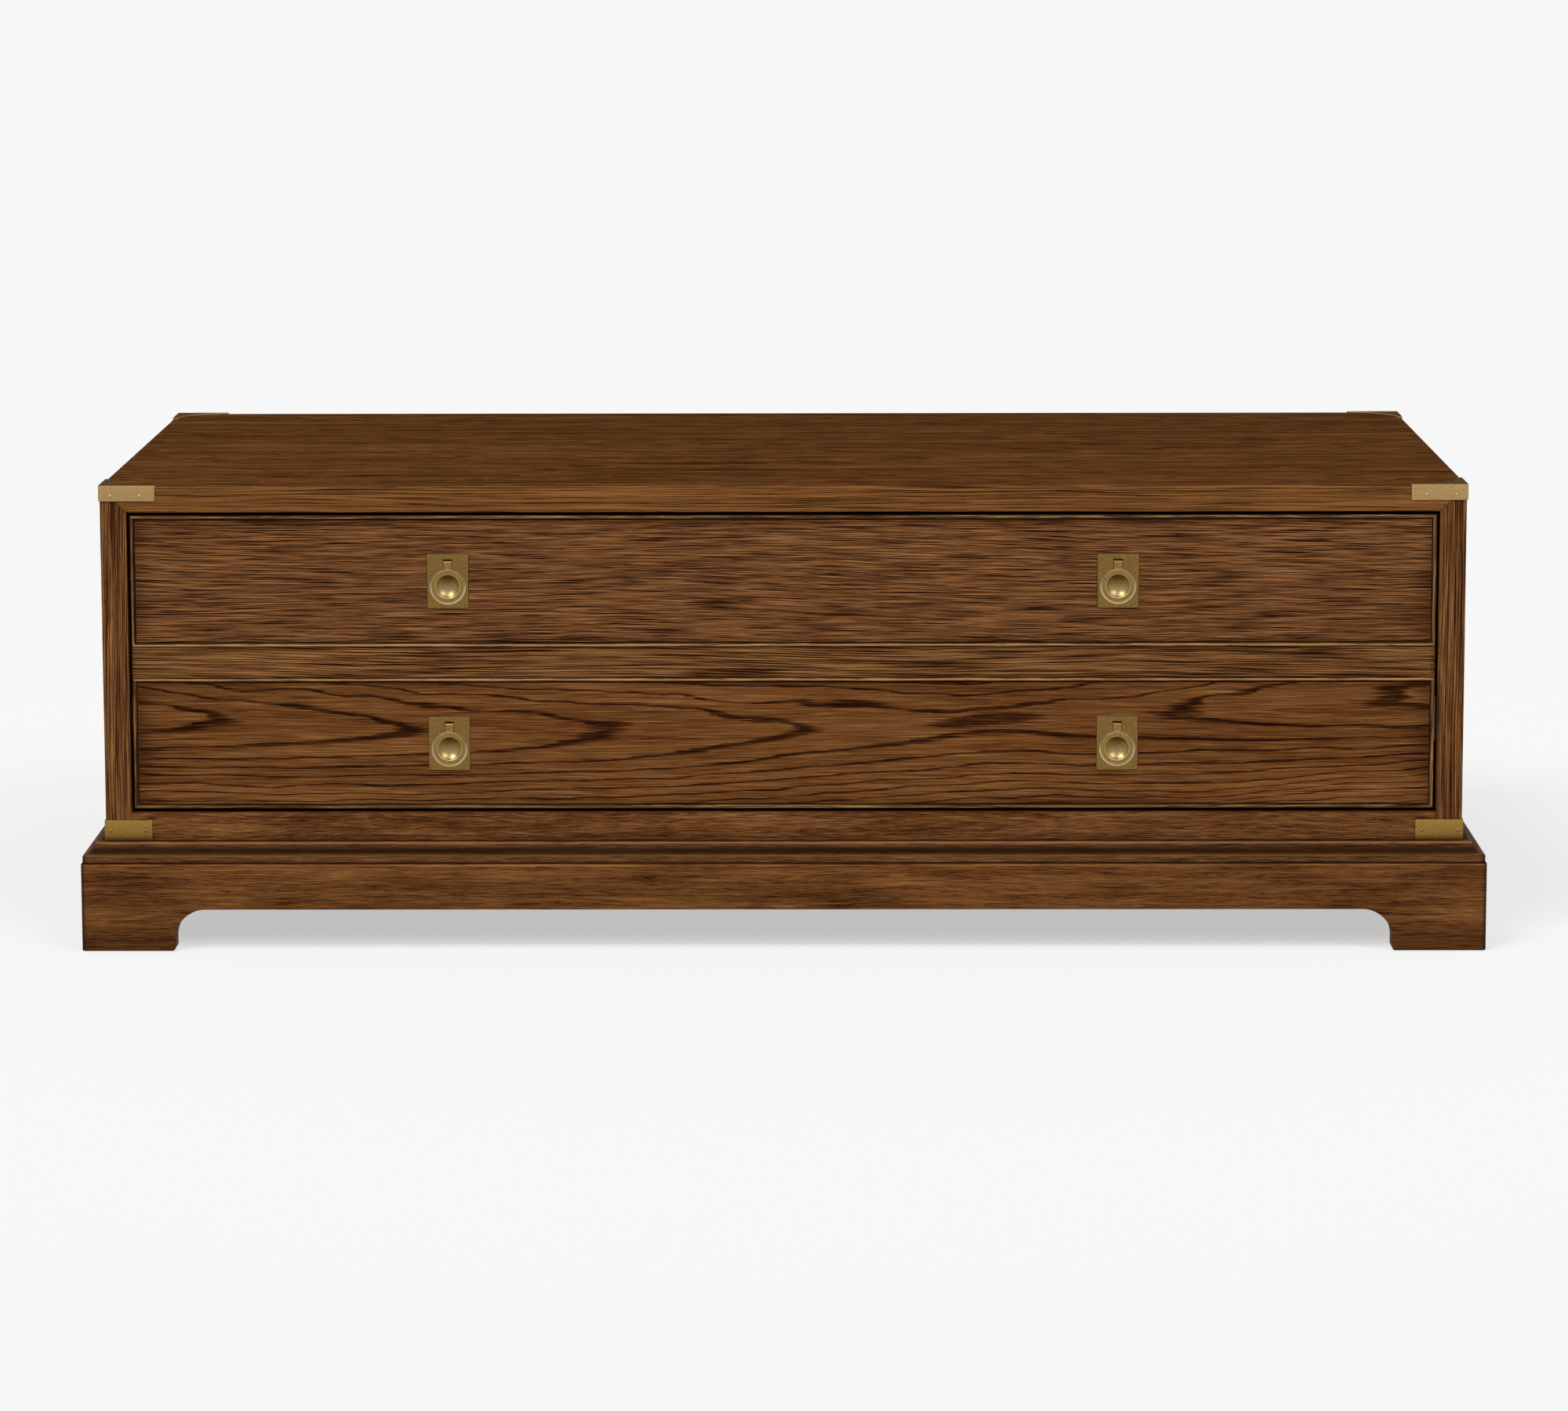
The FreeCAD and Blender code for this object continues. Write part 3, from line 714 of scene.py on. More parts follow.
@dataclass(frozen=True)
class Dish:
    """A finger dish with painted shade over its upper half, a painted highlight over its lower half, and
    bright rims that are partly worn and partly a painted highlight.

    X and Z are its middle. The wall, lower and upper pairs are places in its radius at which a
    change starts and ends.
    """

    x: float
    z: float
    rims: tuple[float, ...]
    radius: float = 11.2 * MM
    rim_width: float = 0.8 * MM
    # The colour of the painted highlights in the dish and on its rims, where it also stands for worn
    # brass.
    polished: Colour = colour(236, 220, 178)
    wall: tuple[float, float] = (1.0, 0.93)
    lower: tuple[float, float] = (0.3, -0.35)
    lower_cloud: float = 0.3
    upper: tuple[float, float] = (0.0, 0.85)
    upper_cloud: float = 0.4
    upper_bow: float = 0.25
    # How strong the painted highlight over the dish's lower half is.
    polish: float = 0.12
    # How strong the painted shade over the dish's upper half is.
    tarnish: float = 0.85
    # The rims are brightened a little all round as worn brass, and more towards the bottom as a painted
    # highlight.
    rim_least: float = 0.35
    rim_grit: float = 0.5
    rim_fall: tuple[float, float] = (1.0, -0.6)

    def wear(
        self,
        sheet: Sheet,
        axes: dict[str, Signal],
        metal: Signal,
        deep: Colour,
        noises: tuple[Signal, Signal],
    ) -> Signal:
        """Paints shade over the dish's upper half and a highlight over its lower half, and brightens its
        rims.

        Args:
            sheet: the material's sheet.
            axes: the place, by the name of its axis.
            metal: the brass's own colour.
            deep: the colour of the painted shade.
            noises: the brass's broad cloud and its fine grit.

        Returns:
            The worn colour.
        """
        cloud, grit = noises
        aside = (axes["X"] - self.x) / self.radius
        above = (axes["Z"] - self.z) / self.radius
        reach = (aside * aside + above * above) ** 0.5
        inside = reach.ramp(*self.wall)
        # Painted highlight over the lower half of the dish.
        low = (above + (cloud - 0.5) * self.lower_cloud).ramp(*self.lower)
        # Painted shade over the upper half of the dish.
        bowed = above - aside * aside * self.upper_bow
        high = (bowed + (cloud - 0.5) * self.upper_cloud).ramp(*self.upper)
        metal = sheet.tint(metal, self.polished, inside * low * self.polish)
        metal = sheet.tint(metal, deep, inside * high * self.tarnish)
        # Bright rims: partly worn, partly a painted highlight that grows towards the bottom.
        for radius in self.rims:
            edge = abs(reach * self.radius - radius).ramp(self.rim_width, 0.0)
            rub_and_highlight = self.rim_least + above.ramp(*self.rim_fall)
            share = edge * ((1 - self.rim_grit) + grit * self.rim_grit) * rub_and_highlight
            metal = sheet.tint(metal, self.polished, share)
        return metal


@dataclass(frozen=True)
class Brass:
    """Old brass: a fine-grained patina over a brushed sheet.

    Above the height in waxed the brass is painted dark brown and less metallic, as shade on its upward
    faces. Rates are in marks a metre.
    """

    name: str
    bright: Colour
    aged: Colour
    roughness: float = 0.42
    mottle: float = 9 * MM
    grain_share: float = 0.5
    brushed: Grain = Grain.ALONG_X
    waxed: float | None = None
    # The colour of the painted shade on the brass's upward faces.
    wax: Colour = colour(58, 35, 16)
    wax_edge: float = 0.2 * MM
    wax_depth: float = 0.9
    wax_cloud: float = 0.5
    dish: Dish | None = None
    grit_rate: float = 900.0
    brush_rates: tuple[float, float] = (90.0, 5200.0)
    cloud_detail: float = 4.0
    cloud_roughness: float = 0.62
    patina_spread: float = 1.3
    deep_share: float = 0.22
    aged_roughness: float = 0.14
    grit_roughness: float = 0.1
    grit_relief: float = 0.6
    relief_depth: float = 0.12 * MM
    relief_strength: float = 0.12

    def make(self) -> bpy.types.Material:
        """Builds the material.

        Returns:
            The material.
        """
        sheet = FinishSheet(self.name)
        axes = sheet.axes(sheet.place())
        place = tuple(axes[name] for name in self.brushed.value)
        rate = 1 / self.mottle
        brush_along, brush_across = self.brush_rates
        cloud = self._grain(sheet, place, (rate, rate), (self.cloud_detail, self.cloud_roughness))
        fine = (2.0, FIBRE_ROUGHNESS)
        grit = self._grain(sheet, place, (self.grit_rate, self.grit_rate), fine)
        brush = self._grain(sheet, place, (brush_along, brush_across), fine)
        patina = (cloud - 0.5) * (1 - self.grain_share) + (grit - 0.5) * (2 * self.grain_share)
        patina = (patina * self.patina_spread + 0.5).ramp(0.0, 1.0)
        metal = sheet.tones(patina, [(0.0, self.aged), (1.0, self.bright)])
        bare: Number = 1.0
        # The dish gets painted shade over its upper half and a painted highlight over its lower half.
        if self.dish:
            deep = tuple(channel * self.deep_share for channel in self.aged)
            metal = self.dish.wear(sheet, axes, metal, deep, (cloud, grit))
        # Painted shade: above a height the brass turns dark brown and less metallic.
        if self.waxed:
            height = axes["Z"] + (grit - 0.5) * self.wax_edge
            cover = height.ramp(self.waxed, self.waxed + self.wax_edge)
            film = cover * (self.wax_depth + (cloud - 0.5) * self.wax_cloud)
            metal = sheet.tint(metal, self.wax, film.least(1.0))
            bare = 1 - cover * self.wax_depth
        rough = self.roughness + (1 - patina) * self.aged_roughness
        relief = grit * self.grit_relief + brush * (1 - self.grit_relief)
        sheet.feed("Base Color", metal)
        sheet.feed("Metallic", bare)
        sheet.feed("Specular IOR Level", 0.0)
        sheet.feed("Roughness", rough + (grit - 0.5) * self.grit_roughness)
        sheet.relief(relief, self.relief_depth, self.relief_strength)
        return sheet.owner

    @staticmethod
    def _grain(
        sheet: Sheet, place: Line, rates: tuple[float, float], noise: tuple[float, float]
    ) -> Signal:
        """Noise with its own rates along the brushing and across it.

        Args:
            sheet: the material's sheet.
            place: the place along the brushing, across it, and into the metal.
            rates: the marks a metre along and across.
            noise: the noise's detail and roughness.

        Returns:
            The noise, 0 to 1.
        """
        along, across, depth = place
        stretched = sheet.vector(along * rates[0], across * rates[1], depth * rates[1])
        return sheet.noise(stretched, *noise)


@dataclass(frozen=True)
class PlainWood:
    """Unstained wood inside the drawer and under the case."""

    name: str
    grain: Grain
    dark: Colour = colour(150, 112, 74)
    pale: Colour = colour(205, 172, 128)
    roughness: float = 0.55
    drift: Drift = Drift(3.0, 12.0, 30 * MM)
    ring_rates: tuple[float, float] = (2.0, 90.0)
    fibre_rates: tuple[float, float] = (22.0, 900.0)
    ring_share: float = 0.9
    fibre_share: float = 1.2
    dark_roughness: float = 0.12
    gloss: float = 0.3
    relief_depth: float = 0.3 * MM
    relief_strength: float = 0.15

    def make(self) -> bpy.types.Material:
        """Builds the material.

        Returns:
            The material.
        """
        sheet = FinishSheet(self.name)
        axes = sheet.axes(sheet.place())
        along_name, across_name, depth_name = self.grain.value
        along, across, depth = axes[along_name], axes[across_name], axes[depth_name]
        line = across + self.drift.shift(sheet, along, across, depth)
        ring_along, ring_across = self.ring_rates
        fibre_along, fibre_across = self.fibre_rates
        ring_place = sheet.vector(along * ring_along, line * ring_across, depth * ring_across)
        fibre_place = sheet.vector(along * fibre_along, line * fibre_across, depth * fibre_across)
        rings = (sheet.noise(ring_place) - 0.5) * self.ring_share
        fibre = (sheet.noise(fibre_place, 3.0, FIBRE_ROUGHNESS) - 0.5) * self.fibre_share
        value = (rings + fibre + 0.5).ramp(0.0, 1.0)
        sheet.feed("Base Color", sheet.tones(value, [(0.0, self.dark), (1.0, self.pale)]))
        sheet.feed("Roughness", self.roughness + (1 - value) * self.dark_roughness)
        sheet.feed("Specular IOR Level", self.gloss)
        sheet.relief(value, self.relief_depth, self.relief_strength)
        return sheet.owner


@dataclass(frozen=True)
class PlatedSteel:
    """Zinc-plated steel with the spangle of its plating and fine drawing lines."""

    name: str
    bright: Colour = colour(186, 188, 190)
    dull: Colour = colour(132, 135, 138)
    roughness: float = 0.32
    spangle_rate: float = 260.0
    line_rates: tuple[float, float] = (12.0, 900.0)
    spangle_share: float = 0.55
    line_share: float = 0.6
    span: tuple[float, float] = (0.1, 0.9)
    dull_roughness: float = 0.16
    relief_depth: float = 0.05 * MM
    relief_strength: float = 0.1

    def make(self) -> bpy.types.Material:
        """Builds the material.

        Returns:
            The material.
        """
        sheet = FinishSheet(self.name)
        place = sheet.place()
        axes = sheet.axes(place)
        cells = {"Vector": place, "Scale": self.spangle_rate}
        spangle = sheet.node("ShaderNodeTexVoronoi", inputs=cells)
        along, across = self.line_rates
        lines = sheet.noise(sheet.vector(axes["X"] * across, axes["Y"] * along, axes["Z"] * across))
        value = (spangle * self.spangle_share + lines * self.line_share).ramp(*self.span)
        sheet.feed("Base Color", sheet.tones(value, [(0.0, self.dull), (1.0, self.bright)]))
        sheet.feed("Metallic", 1.0)
        sheet.feed("Roughness", self.roughness + (1 - value) * self.dull_roughness)
        sheet.relief(value, self.relief_depth, self.relief_strength)
        return sheet.owner


@dataclass(frozen=True)
class Moulded:
    """Moulded plastic or rubber with a fine spark-eroded grain."""

    name: str
    body: Colour
    worn: Colour
    roughness: float
    grit_rate: float = 2400.0
    grit_detail: float = 3.0
    cloud_rate: float = 160.0
    grit_share: float = 0.4
    span: tuple[float, float] = (0.3, 0.7)
    grit_roughness: float = 0.2
    relief_depth: float = 0.1 * MM
    relief_strength: float = 0.25

    def make(self) -> bpy.types.Material:
        """Builds the material.

        Returns:
            The material.
        """
        sheet = FinishSheet(self.name)
        place = sheet.place()
        fine = {"Vector": place, "Scale": self.grit_rate, "Detail": self.grit_detail}
        grit = sheet.node("ShaderNodeTexNoise", inputs=fine)
        cloud = sheet.node("ShaderNodeTexNoise", inputs={"Vector": place, "Scale": self.cloud_rate})
        value = (grit * self.grit_share + cloud * (1 - self.grit_share)).ramp(*self.span)
        sheet.feed("Base Color", sheet.tones(value, [(0.0, self.body), (1.0, self.worn)]))
        sheet.feed("Roughness", self.roughness + (grit - 0.5) * self.grit_roughness)
        sheet.relief(grit, self.relief_depth, self.relief_strength)
        return sheet.owner


def deselect_all() -> None:
    """Leaves edit mode and clears the selection."""
    active = bpy.context.view_layer.objects.active
    if active and active.mode != "OBJECT":
        bpy.ops.object.mode_set(mode="OBJECT")
    bpy.ops.object.select_all(action="DESELECT")


def take(piece: bpy.types.Object) -> None:
    """Selects one piece and makes it the active one.

    Args:
        piece: the piece.
    """
    deselect_all()
    piece.select_set(True)
    bpy.context.view_layer.objects.active = piece


def edit(piece: bpy.types.Object, kind: str = "FACE") -> None:
    """Opens a piece for editing by vertex, edge or face, with nothing selected.

    Args:
        piece: the piece.
        kind: VERT, EDGE or FACE.
    """
    take(piece)
    bpy.ops.object.mode_set(mode="EDIT")
    bpy.ops.mesh.select_mode(type=kind)
    bpy.ops.mesh.select_all(action="DESELECT")


def close_edit() -> None:
    """Goes back to object mode."""
    bpy.ops.object.mode_set(mode="OBJECT")


def pick_faces(piece: bpy.types.Object, wanted: Callable[[bmesh.types.BMFace], bool]) -> None:
    """Selects the faces of an open piece that pass a test.

    Args:
        piece: the piece, in edit mode.
        wanted: the test.
    """
    mesh = bmesh.from_edit_mesh(piece.data)
    for face in mesh.faces:
        face.select_set(wanted(face))
    bmesh.update_edit_mesh(piece.data)


def pick_edges(piece: bpy.types.Object, wanted: Test) -> None:
    """Selects the edges of an open piece whose two ends both pass a test.

    Args:
        piece: the piece, in edit mode.
        wanted: the test of an end's place.
    """
    mesh = bmesh.from_edit_mesh(piece.data)
    for edge in mesh.edges:
        edge.select_set(all(wanted(vertex.co) for vertex in edge.verts))
    bmesh.update_edit_mesh(piece.data)


def settle(piece: bpy.types.Object) -> None:
    """Puts a piece's place into its mesh."""
    take(piece)
    bpy.ops.object.transform_apply(location=True, rotation=True, scale=True)


def block(name: str, low: Vector, high: Vector) -> bpy.types.Object:
    """Starts a board as a block between two corners.

    Args:
        name: the board's name.
        low: its lowest corner.
        high: its highest corner.

    Returns:
        The block.
    """
    deselect_all()
    bpy.ops.mesh.primitive_cube_add(size=1.0, location=(low + high) / 2)
    piece = bpy.context.object
    piece.name = name
    piece.scale = high - low
    settle(piece)
    return piece


def trim(piece: bpy.types.Object, place: Vector, normal: Vector) -> None:
    """Saws off what lies beyond a plane, on the side that its normal points to.

    Args:
        piece: the piece.
        place: a point of the plane.
        normal: the plane's normal.
    """
    edit(piece, "VERT")
    bpy.ops.mesh.select_all(action="SELECT")
    bpy.ops.mesh.bisect(
        plane_co=place, plane_no=normal, use_fill=True, clear_outer=True, threshold=MERGE
    )
    close_edit()


def soften(piece: bpy.types.Object, width: float, segments: int = 2, angle: float = 50.0) -> None:
    """Rounds every sharp edge with an applied bevel.

    Args:
        piece: the piece.
        width: the bevel's width, in metres.
        segments: how many strips make the round.
        angle: the least turn, in degrees, that counts as sharp.
    """
    take(piece)
    modifier = piece.modifiers.new("soft_edges", "BEVEL")
    modifier.width = width
    modifier.segments = segments
    modifier.limit_method = "ANGLE"
    modifier.angle_limit = math.radians(angle)
    modifier.harden_normals = False
    bpy.ops.object.modifier_apply(modifier=modifier.name)


def carve(piece: bpy.types.Object, tool: bpy.types.Object, how: str = "DIFFERENCE") -> None:
    """Cuts a tool out of a piece, or joins it on, and puts the tool away.

    Args:
        piece: the piece.
        tool: the tool, which is used up.
        how: the boolean modifier's operation.
    """
    take(piece)
    modifier = piece.modifiers.new("carve", "BOOLEAN")
    modifier.operation = how
    modifier.solver = "EXACT"
    modifier.object = tool
    bpy.ops.object.modifier_apply(modifier=modifier.name)
    bpy.data.objects.remove(tool)


def smooth(piece: bpy.types.Object, angle: float = 35.0) -> None:
    """Shades a piece smooth up to an angle, with its doubles merged and its normals outwards.

    Args:
        piece: the piece.
        angle: the largest turn, in degrees, that still looks round.
    """
    edit(piece, "VERT")
    bpy.ops.mesh.select_all(action="SELECT")
    bpy.ops.mesh.remove_doubles(threshold=MERGE)
    bpy.ops.mesh.normals_make_consistent(inside=False)
    close_edit()
    bpy.ops.object.shade_smooth_by_angle(angle=math.radians(angle))


def duplicate(piece: bpy.types.Object, name: str, change: Matrix) -> bpy.types.Object:
    """Copies a piece with its own mesh and moves the copy.

    Args:
        piece: the piece.
        name: the copy's name.
        change: how the copy is moved, turned or mirrored.

    Returns:
        The copy.
    """
    copy = piece.copy()
    copy.data = piece.data.copy()
    copy.name = name
    bpy.context.scene.collection.objects.link(copy)
    copy.matrix_world = change
    settle(copy)
    if change.determinant() < 0:
        smooth(copy)
    return copy


def join(pieces: list[bpy.types.Object], name: str) -> bpy.types.Object:
    """Joins loose parts into one piece.

    Args:
        pieces: the parts.
        name: the piece's name.

    Returns:
        The piece.
    """
    deselect_all()
    for piece in pieces:
        piece.select_set(True)
    bpy.context.view_layer.objects.active = pieces[0]
    bpy.ops.object.join()
    pieces[0].name = name
    return pieces[0]


class Pen:
    """Draws a flat outline by extruding and spinning a point, then fills it and pushes it out."""

    def __init__(self, name: str, start: Vector) -> None:
        """Starts at a point.

        Args:
            name: the piece's name.
            start: the point.
        """
        deselect_all()
        bpy.ops.mesh.primitive_plane_add(size=MM, location=start)
        self.piece = bpy.context.object
        self.piece.name = name
        settle(self.piece)
        edit(self.piece, "VERT")
        bpy.ops.mesh.select_all(action="SELECT")
        bpy.ops.mesh.merge(type="CENTER")
        self.at = start.copy()

    def line(self, end: Vector) -> Pen:
        """Draws a straight line to a point.

        Args:
            end: the point.

        Returns:
            The pen, at that point.
        """
        bpy.ops.mesh.extrude_vertices_move(TRANSFORM_OT_translate={"value": end - self.at})
        self.at = end.copy()
        return self

    def arc(self, centre: Vector, axis: Vector, degrees: float, steps: int) -> Pen:
        """Draws an arc round a centre.

        Args:
            centre: the arc's centre.
            axis: the line that it turns about.
            degrees: how far it turns, right-handed about the axis.
            steps: how many lines it is made of.

        Returns:
            The pen, at the arc's end.
        """
        turn = math.radians(degrees)
        bpy.ops.mesh.spin(steps=steps, angle=-turn, center=centre, axis=axis)
        swing = Matrix.Rotation(turn, 3, axis)
        self.at = centre + swing @ (self.at - centre)
        return self

    def push(self, travel: Vector) -> bpy.types.Object:
        """Closes the outline, fills it and extrudes it.

        Args:
            travel: the way and distance of the extrusion.

        Returns:
            The solid piece, with its normals outwards.
        """
        bpy.ops.mesh.select_all(action="SELECT")
        bpy.ops.mesh.remove_doubles(threshold=MERGE)
        bpy.ops.mesh.edge_face_add()
        bpy.ops.mesh.extrude_region_move(TRANSFORM_OT_translate={"value": travel})
        bpy.ops.mesh.select_all(action="SELECT")
        bpy.ops.mesh.normals_make_consistent(inside=False)
        close_edit()
        return self.piece


def dress(piece: bpy.types.Object, finish: bpy.types.Material) -> None:
    """Gives a piece its finish.

    Args:
        piece: the piece.
        finish: its material.
    """
    piece.data.materials.clear()
    piece.data.materials.append(finish)


def stand_for(
    piece: bpy.types.Object, body: str, finish: bpy.types.Material, slot: str, *nodes: str
) -> None:
    """Lets a piece ride on a body in place of some of the frame's nodes.

    Args:
        piece: the finished piece.
        body: the body that carries it.
        finish: its material.
        slot: not used.
        nodes: the nodes that it replaces.
    """
    dress(piece, finish)
    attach(piece, body)
    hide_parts(*nodes)
    log.info("%s: %d faces on %s", piece.name, len(piece.data.polygons), body)


def repaint(nodes: Iterable[str], finish: bpy.types.Material, frame: dict) -> None:
    """Gives some of the frame's own nodes a better material.

    Args:
        nodes: the nodes' names.
        finish: the material.
    """
    for name in nodes:
        node = frame["nodes"][name]
        for index in range(max(1, len(node.material_slots))):
            if index < len(node.material_slots):
                node.material_slots[index].material = finish
            else:
                node.data.materials.append(finish)
        log.info("%s keeps its mesh", name)


@dataclass
class Plinth:
    """The bracket plinth and the cove moulding that sits on it."""

    arch_rise: float = 42 * MM
    arch_radius: float = 30 * MM
    foot_length: float = 91 * MM
    toe_round: float = 3 * MM
    fillet_height: float = 7.6 * MM
    board_edge: float = 1.0 * MM
    moulding_edge: float = 0.7 * MM
    steps: int = 20
    toe_steps: int = 6
    arch_tool_depth: float = 50 * MM

    def build(self) -> None:
        """Builds the four boards and the four mouldings."""
        low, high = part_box("plinth_front")
        half_x = high.x
        half_y = -low.y
        for run in Run:
            along, out = (half_x, half_y) if run.grain is Grain.ALONG_X else (half_y, half_x)
            self._board(run, along, out)
            self._moulding(run, along, out)

    def _board(self, run: Run, along: float, out: float) -> None:
        """Cuts one plinth board with its arch and mitred ends.

        Args:
            run: the side of the base that it stands on.
            along: half its length, in metres.
            out: how far its face stands from the middle of the table.
        """
        low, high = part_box("plinth_front")
        name = "plinth_" + run.label
        inner = -out + high.y - low.y
        board = block(name, Vector((-along, -out, low.z)), Vector((along, inner, high.z)))
        trim(board, Vector((along, -out, 0)), Vector((1, 1, 0)))
        trim(board, Vector((-along, -out, 0)), Vector((-1, 1, 0)))
        carve(board, self._arch(along - self.foot_length, out, low.z))
        soften(board, self.board_edge)
        smooth(board)
        self._turn(board, run)
        finish = Oak(
            "oak_plinth_" + run.label,
            run.grain,
            streak_length=20 * MM,
            streak_pitch=0.6 * MM,
            contrast=0.52,
            band=0.28,
            cloud=0.5,
            seed=3.1 + run.value * SIDE_SEED,
            ground=colour(103, 63, 30),
            light=colour(150, 102, 56),
            marks=(
                # Dark wax with painted shade under the moulding, a painted highlight on the eased top
                # edge, darker towards the bottom, and darker at the mitred ends.
                Mark("Z", high.z, width=1.6 * MM, share=0.8),
                Mark("Z", high.z - 2.0 * MM, width=1.2 * MM, share=0.5, pale=True),
                Mark("Z", low.z, width=30 * MM, share=0.45),
                Mark(run.grain.value[0], along, width=5.0 * MM, share=0.8),
            ),
        ).make()
        stand_for(board, "case", finish, "base_oak", name)

    def _arch(self, reach: float, out: float, foot: float) -> bpy.types.Object:
        """The tool that opens the arch: straight legs that curve into a flat head.

        Args:
            reach: half the arch's width, in metres.
            out: how far the board's face stands from the middle of the table.
            foot: the height of the board's foot.

        Returns:
            The tool.
        """
        y = -out - PAST
        low = foot - PAST
        toe = reach + self.toe_round
        toe_top = foot + self.toe_round
        leg_top = self.arch_rise - self.arch_radius
        bend = Vector((reach - self.arch_radius, y, leg_top))
        axis = Vector((0, 1, 0))
        pen = Pen("arch_tool", Vector((-toe, y, low)))
        pen.line(Vector((toe, y, low)))
        pen.line(Vector((toe, y, foot)))
        pen.arc(Vector((toe, y, toe_top)), axis, QUARTER_TURN, self.toe_steps)
        pen.line(Vector((reach, y, leg_top)))
        pen.arc(bend, axis, -QUARTER_TURN, self.steps)
        pen.line(Vector((-bend.x, y, self.arch_rise)))
        pen.arc(Vector((-bend.x, y, leg_top)), axis, -QUARTER_TURN, self.steps)
        pen.line(Vector((-reach, y, toe_top)))
        pen.arc(Vector((-toe, y, toe_top)), axis, QUARTER_TURN, self.toe_steps)
        return pen.push(Vector((0, self.arch_tool_depth, 0)))

    def _moulding(self, run: Run, along: float, out: float) -> None:
        """Runs one length of cove moulding, mitred at both ends.

        Args:
            run: the side of the base that it runs along.
            along: half the length of the plinth board below it, in metres.
            out: how far that board's face stands from the middle of the table.
        """
        low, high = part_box("base_moulding_front")
        inset = out - (-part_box("plinth_front")[0].y)
        face = -low.y + inset
        wall = -high.y + inset
        shoulder = low.z + self.fillet_height
        name = "base_moulding_" + run.label
        start = -along
        pen = Pen(name, Vector((start, -wall, high.z)))
        pen.line(Vector((start, -wall, low.z)))
        pen.line(Vector((start, -face, low.z)))
        pen.line(Vector((start, -face, shoulder)))
        pen.arc(Vector((start, -face, high.z)), Vector((1, 0, 0)), QUARTER_TURN, self.steps)
        moulding = pen.push(Vector((along * 2, 0, 0)))
        end = along + (face - out)
        trim(moulding, Vector((end, -face, 0)), Vector((1, 1, 0)))
        trim(moulding, Vector((-end, -face, 0)), Vector((-1, 1, 0)))
        soften(moulding, self.moulding_edge, angle=40.0)
        smooth(moulding, angle=30.0)
        self._turn(moulding, run)
        along_axis, _, out_axis = run.grain.value
        finish = Oak(
            "oak_moulding_" + run.label,
            run.grain,
            streak_length=26 * MM,
            streak_pitch=0.6 * MM,
            contrast=0.7,
            band=0.25,
            seed=7.7 + run.value * SIDE_SEED,
            ground=colour(96, 60, 31),
            light=colour(150, 104, 62),
            marks=(
                # Dark wax with painted shade at the foot joint, in the lower cove and against the case;
                # painted highlights on the two arrises; darker at the mitred ends.
                Mark("Z", low.z, width=1.4 * MM, share=0.9),
                Mark("Z", shoulder + 3.4 * MM, width=7.5 * MM, share=0.85),
                Mark(out_axis, wall, width=11.0 * MM, share=1.4),
                Mark("Z", shoulder - 0.2 * MM, width=1.5 * MM, share=0.8, pale=True),
                Mark("Z", high.z - 1.3 * MM, width=1.4 * MM, share=1.3, pale=True),
                Mark(along_axis, along, width=9.0 * MM, share=0.8),
            ),
        ).make()
        stand_for(moulding, "case", finish, "base_oak", name)

    @staticmethod
    def _turn(piece: bpy.types.Object, run: Run) -> None:
        """Turns a front run to its own side of the base."""
        piece.matrix_world = Matrix.Rotation(math.radians(run.value), 4, "Z")
        settle(piece)


